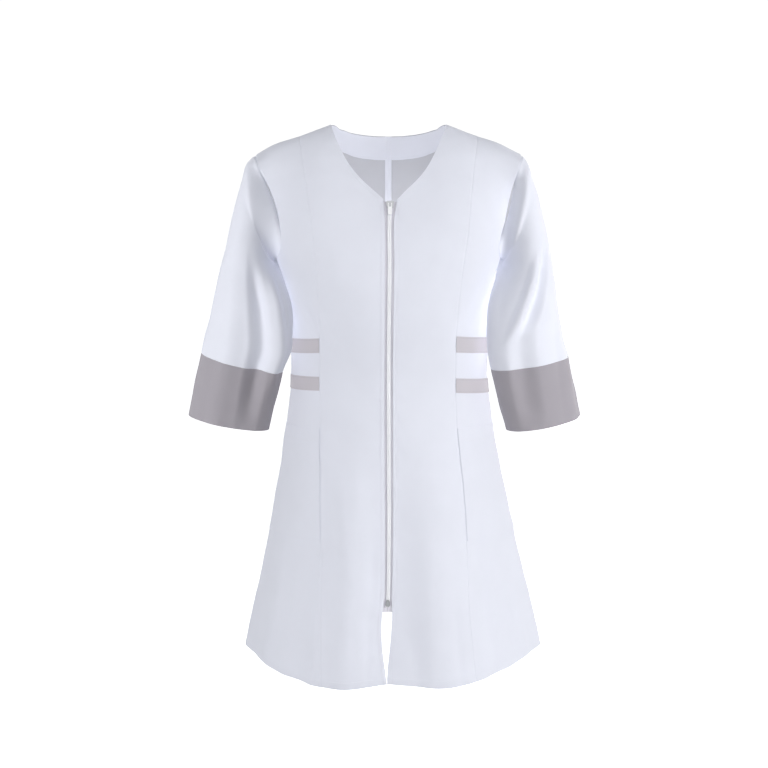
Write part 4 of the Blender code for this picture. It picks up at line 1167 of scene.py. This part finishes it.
def make_facing(pieces):
    """The facing inside the back neck."""
    columns = []
    for s in np.linspace(-0.82, 0.82, 81):
        back = pieces["back", 1 if s >= 0 else -1]
        count = back.points.shape[1]
        index = min(int(abs(s) * 0.62 * count), count - 1)
        top = back.distance["top"][:, index]
        want = np.linspace(0.0, 1.0, 9) * (FACING_DEPTH + FACING_SIDE * s * s) + 0.6
        normal = unit(at_places(want, top, back.normal[:, index]))
        columns.append(at_places(want, top, back.points[:, index]) - normal * (CLOTH + 0.3))
    grid = np.stack(columns, 1)
    panel = Panel("neck_facing", grid, grid_normals(grid, -1), FACING_CLOTH)
    panel.points = grid
    sheet(panel, WHITE, ["neck_facing"])
    panel.points = grid - panel.normal * FACING_CLOTH
    panel.normal = -panel.normal
    add_stitches("thread_neck_facing", panel, "bottom", FACING_STITCH)
    sew("thread_neck_facing", WHITE_THREAD)


# The photo's side, focal length and downward tilt in pixels; the places are in metres.
PHOTO_SIDE = 768.0
PHOTO_FOCAL = 1467.7
PHOTO_TILT = 259.5
SENSOR = 36.0
CAMERA_PLACE = (-0.0069, -2.30, 0.0)
BODY_MIDDLE = (0, 0, -0.45)
# The floor's height and half of its side, in millimetres.
FLOOR = -1600
FLOOR_HALF = 14000


def make_camera():
    """Camera at the photograph's angle: level with the neck and looking slightly down."""
    data = bpy.data.cameras.new("camera")
    data.sensor_width = SENSOR
    data.lens = SENSOR * PHOTO_FOCAL / PHOTO_SIDE
    camera = bpy.data.objects.new("camera", data)
    camera.location = CAMERA_PLACE
    camera.rotation_euler = (math.pi / 2 - math.atan(PHOTO_TILT / PHOTO_FOCAL), 0, 0)
    bpy.context.scene.collection.objects.link(camera)
    bpy.context.scene.camera = camera


def linked(name, objects, state):
    """A collection for light linking that leaves some objects out, or has only them."""
    kept = bpy.data.collections.new(name)
    for label in objects:
        kept.objects.link(bpy.data.objects[label])
    for entry in kept.collection_objects:
        entry.light_linking.link_state = state
    return kept


def area_light(name, place, size, power, unlit=(), casts_none=(), only=(), target=BODY_MIDDLE):
    """A softbox; some pieces can stay out of its light, and some cast no shadow in it."""
    data = bpy.data.lights.new(name, "AREA")
    data.shape = "RECTANGLE"
    data.size, data.size_y = size
    data.energy = power
    light = bpy.data.objects.new(name, data)
    light.location = place
    light.rotation_euler = (Vector(target) - Vector(place)).to_track_quat("-Z", "Y").to_euler()
    light.visible_camera = False
    bpy.context.scene.collection.objects.link(light)
    if unlit:
        light.light_linking.receiver_collection = linked(name + "_unlit", unlit, "EXCLUDE")
    if only:
        light.light_linking.receiver_collection = linked(name + "_only", only, "INCLUDE")
    if casts_none:
        light.light_linking.blocker_collection = linked(name + "_clear", casts_none, "EXCLUDE")


def make_world():
    """Faint light from all round; the camera and glossy reflections see white walls."""
    world = bpy.data.worlds.new("studio")
    world.use_nodes = True
    tree = world.node_tree
    ambient = tree.nodes["Background"]
    ambient.inputs["Color"].default_value = (0.93, 0.95, 1, 1)
    ambient.inputs["Strength"].default_value = 0.28
    seen = node(tree, "Background", {"Color": (1, 1, 1, 1), "Strength": 1.05})
    ray = node(tree, "LightPath").outputs
    way = node(tree, "TexCoord").outputs["Generated"]
    height = node(tree, "SeparateXYZ", {0: way}).outputs["Z"]
    shade = node(tree, "MapRange", {"Value": height, "From Min": -0.5, "From Max": 0.6,
                                    "To Min": 0.25}).outputs[0]
    glossy = node(tree, "Math", {0: ray["Is Glossy Ray"], 1: shade}, operation="MULTIPLY")
    bright = node(tree, "Math", {0: ray["Is Camera Ray"], 1: glossy.outputs[0]},
                  operation="MAXIMUM")
    choose = node(tree, "MixShader", {0: bright.outputs[0], 1: ambient.outputs[0],
                                      2: seen.outputs[0]})
    tree.links.new(choose.outputs[0], tree.nodes["World Output"].inputs["Surface"])
    bpy.context.scene.world = world


def make_stage():
    corners = [(x * FLOOR_HALF, y * FLOOR_HALF, FLOOR)
               for x, y in ((-1, -1), (1, -1), (1, 1), (-1, 1))]
    floor = new_object("floor", corners, [(0, 1, 2, 3)], stage_material(), closed=False)
    floor.visible_diffuse = False
    make_world()
    left_arm = ("sleeve_left_cloth", "cuff_left_cloth")
    right_arm = ("sleeve_right_cloth", "cuff_right_cloth")
    arms = left_arm + right_arm
    area_light("front_softbox", (0.1, -2.9, 0.3), (1.8, 1.8), 9, target=(0, 0, -0.5))
    area_light("right_front_softbox", (1.35, -2.4, -0.2), (1.2, 1.8), 15, right_arm, arms)
    area_light("left_front_softbox", (-1.35, -2.4, -0.2), (1.2, 1.8), 8, left_arm, arms)
    area_light("right_softbox", (2.2, -0.9, -0.2), (1.2, 2.0), 22, right_arm, arms)
    area_light("left_softbox", (-2.2, -0.9, -0.2), (1.2, 2.0), 8, left_arm, arms)
    area_light("left_arm_softbox", (-1.9, -1.7, -0.2), (1.2, 2.0), 11, only=right_arm)
    area_light("right_arm_softbox", (1.9, -1.7, -0.2), (1.2, 2.0), 5, only=left_arm)
    area_light("right_fill", (2.2, -1.1, -0.3), (1.2, 1.6), 9, (), arms)
    area_light("left_fill", (-2.2, -1.1, -0.3), (1.2, 1.6), 15, (), arms)
    area_light("back_right_softbox", (1.5, 2.4, 0.1), (1.4, 1.8), 26)
    area_light("back_left_softbox", (-1.2, 2.5, 0.1), (1.4, 1.8), 15)
    area_light("top_softbox", (0.2, -0.2, 2.3), (1.6, 1.2), 8, target=(0, 0, -0.2))
    area_light("inside_light", (0.03, -0.05, -0.30), (0.12, 0.08), 0.27,
               target=(-0.02, 0.05, -0.04))
    area_light("skirt_light", (0, -0.03, -0.60), (0.12, 0.08), 0.16, target=(0, 0.12, -0.74))


def stage_material():
    made = bpy.data.materials.new("floor_white")
    made.use_nodes = True
    shader = made.node_tree.nodes["Principled BSDF"]
    shader.inputs["Base Color"].default_value = (0.9, 0.9, 0.9, 1)
    shader.inputs["Roughness"].default_value = 0.9
    shader.inputs["Emission Color"].default_value = (1, 1, 1, 1)
    shader.inputs["Emission Strength"].default_value = 0.9
    return made


def inner_strip(name, lines, last, edges):
    """A narrow strip of cloth inside, on the wall, with a row of thread along its edges."""
    points, normal = (np.stack(part, 1)[:last] for part in zip(*lines))
    grid = points - normal * (CLOTH + 0.12)
    strip = Panel(name, grid, normal, STRIP_CLOTH)
    strip.points = grid
    sheet(strip, WHITE)
    for edge in edges:
        add_row("row_" + name, grid[:, edge] - normal[:, edge] * STRIP_CLOTH, -normal[:, edge])
    sew("row_" + name, WHITE_THREAD)


def above_hem(panel):
    return np.searchsorted(panel.distance["top"][:, 0],
                           panel.distance["top"][-1, 0] - HEM_DEPTH - 2)


def allowance(panel, edge, name):
    """A seam allowance pressed open inside, with the overlocked thread along its edge."""
    lines = [edge_line(panel, edge, level) for level in np.linspace(0.4, ALLOWANCE, 6)]
    inner_strip(name, lines, above_hem(panel), (-1,))


def centre_back_tape(pieces):
    """The narrow tape that covers the centre back seam inside."""
    levels = np.linspace(SEAM_TAPE, 0.2, 5)
    lines = [edge_line(pieces["back", -1], "left", level) for level in levels]
    lines += [edge_line(pieces["back", 1], "left", level) for level in levels[::-1]]
    inner_strip("tape_centre_back", lines, above_hem(pieces["back", 1]), (0, -1))


def make_sewing(pieces):
    """Topstitching and seam allowances of the body panels."""
    for side, name in SIDES.items():
        front, side_front, back = (pieces[kind, side] for kind in ("front_centre", "front_side",
                                                                   "back"))
        add_stitches("thread_front_" + name, front, "left", STITCH_FROM_EDGE)
        for panel in (front, side_front, back):
            add_stitches("thread_hem_" + name, panel, "bottom", HEM_DEPTH - 1.5)
        add_stitches("thread_back_neck_" + name, back, "top", STITCH_FROM_EDGE, NECK_X - 3)
        for label in ("front_", "hem_", "back_neck_"):
            sew("thread_" + label + name, WHITE_THREAD)
        allowance(back, "right", "allowance_back_side_" + name)
        allowance(side_front, "right", "allowance_front_side_" + name)
        allowance(side_front, "left", "allowance_princess_outer_" + name)
        allowance(front, "right", "allowance_princess_inner_" + name)


def dress_metal():
    """Metal parts keep the solids' shapes, with softened corners."""
    # The slider gets the darkened nickel: painted shade.
    for name, material in (("zip_slider", SHADED_SLIDER_NICKEL), ("zip_pull", NICKEL),
                           ("zip_bottom_stop", DARK_NICKEL)):
        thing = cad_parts[name]
        for slot in thing.material_slots:
            slot.material = material
        soften = thing.modifiers.new("soft_corners", "BEVEL")
        soften.width = 0.0003
        soften.segments = 3
        soften.harden_normals = True


def main():
    pieces = make_body_panels()
    for panel in pieces.values():
        # Inner faces of the body panels get the darker copy: painted shade inside the hollow.
        sheet(panel, WHITE, [panel.name], shaded_inside_material=WHITE_INSIDE_SHADED)
    make_sewing(pieces)
    centre_back_tape(pieces)
    dress_metal()
    make_sleeves()
    make_patches()
    make_tapes()
    make_facing(pieces)
    make_camera()
    make_stage()
    bpy.context.scene.view_settings.view_transform = "Standard"


main()
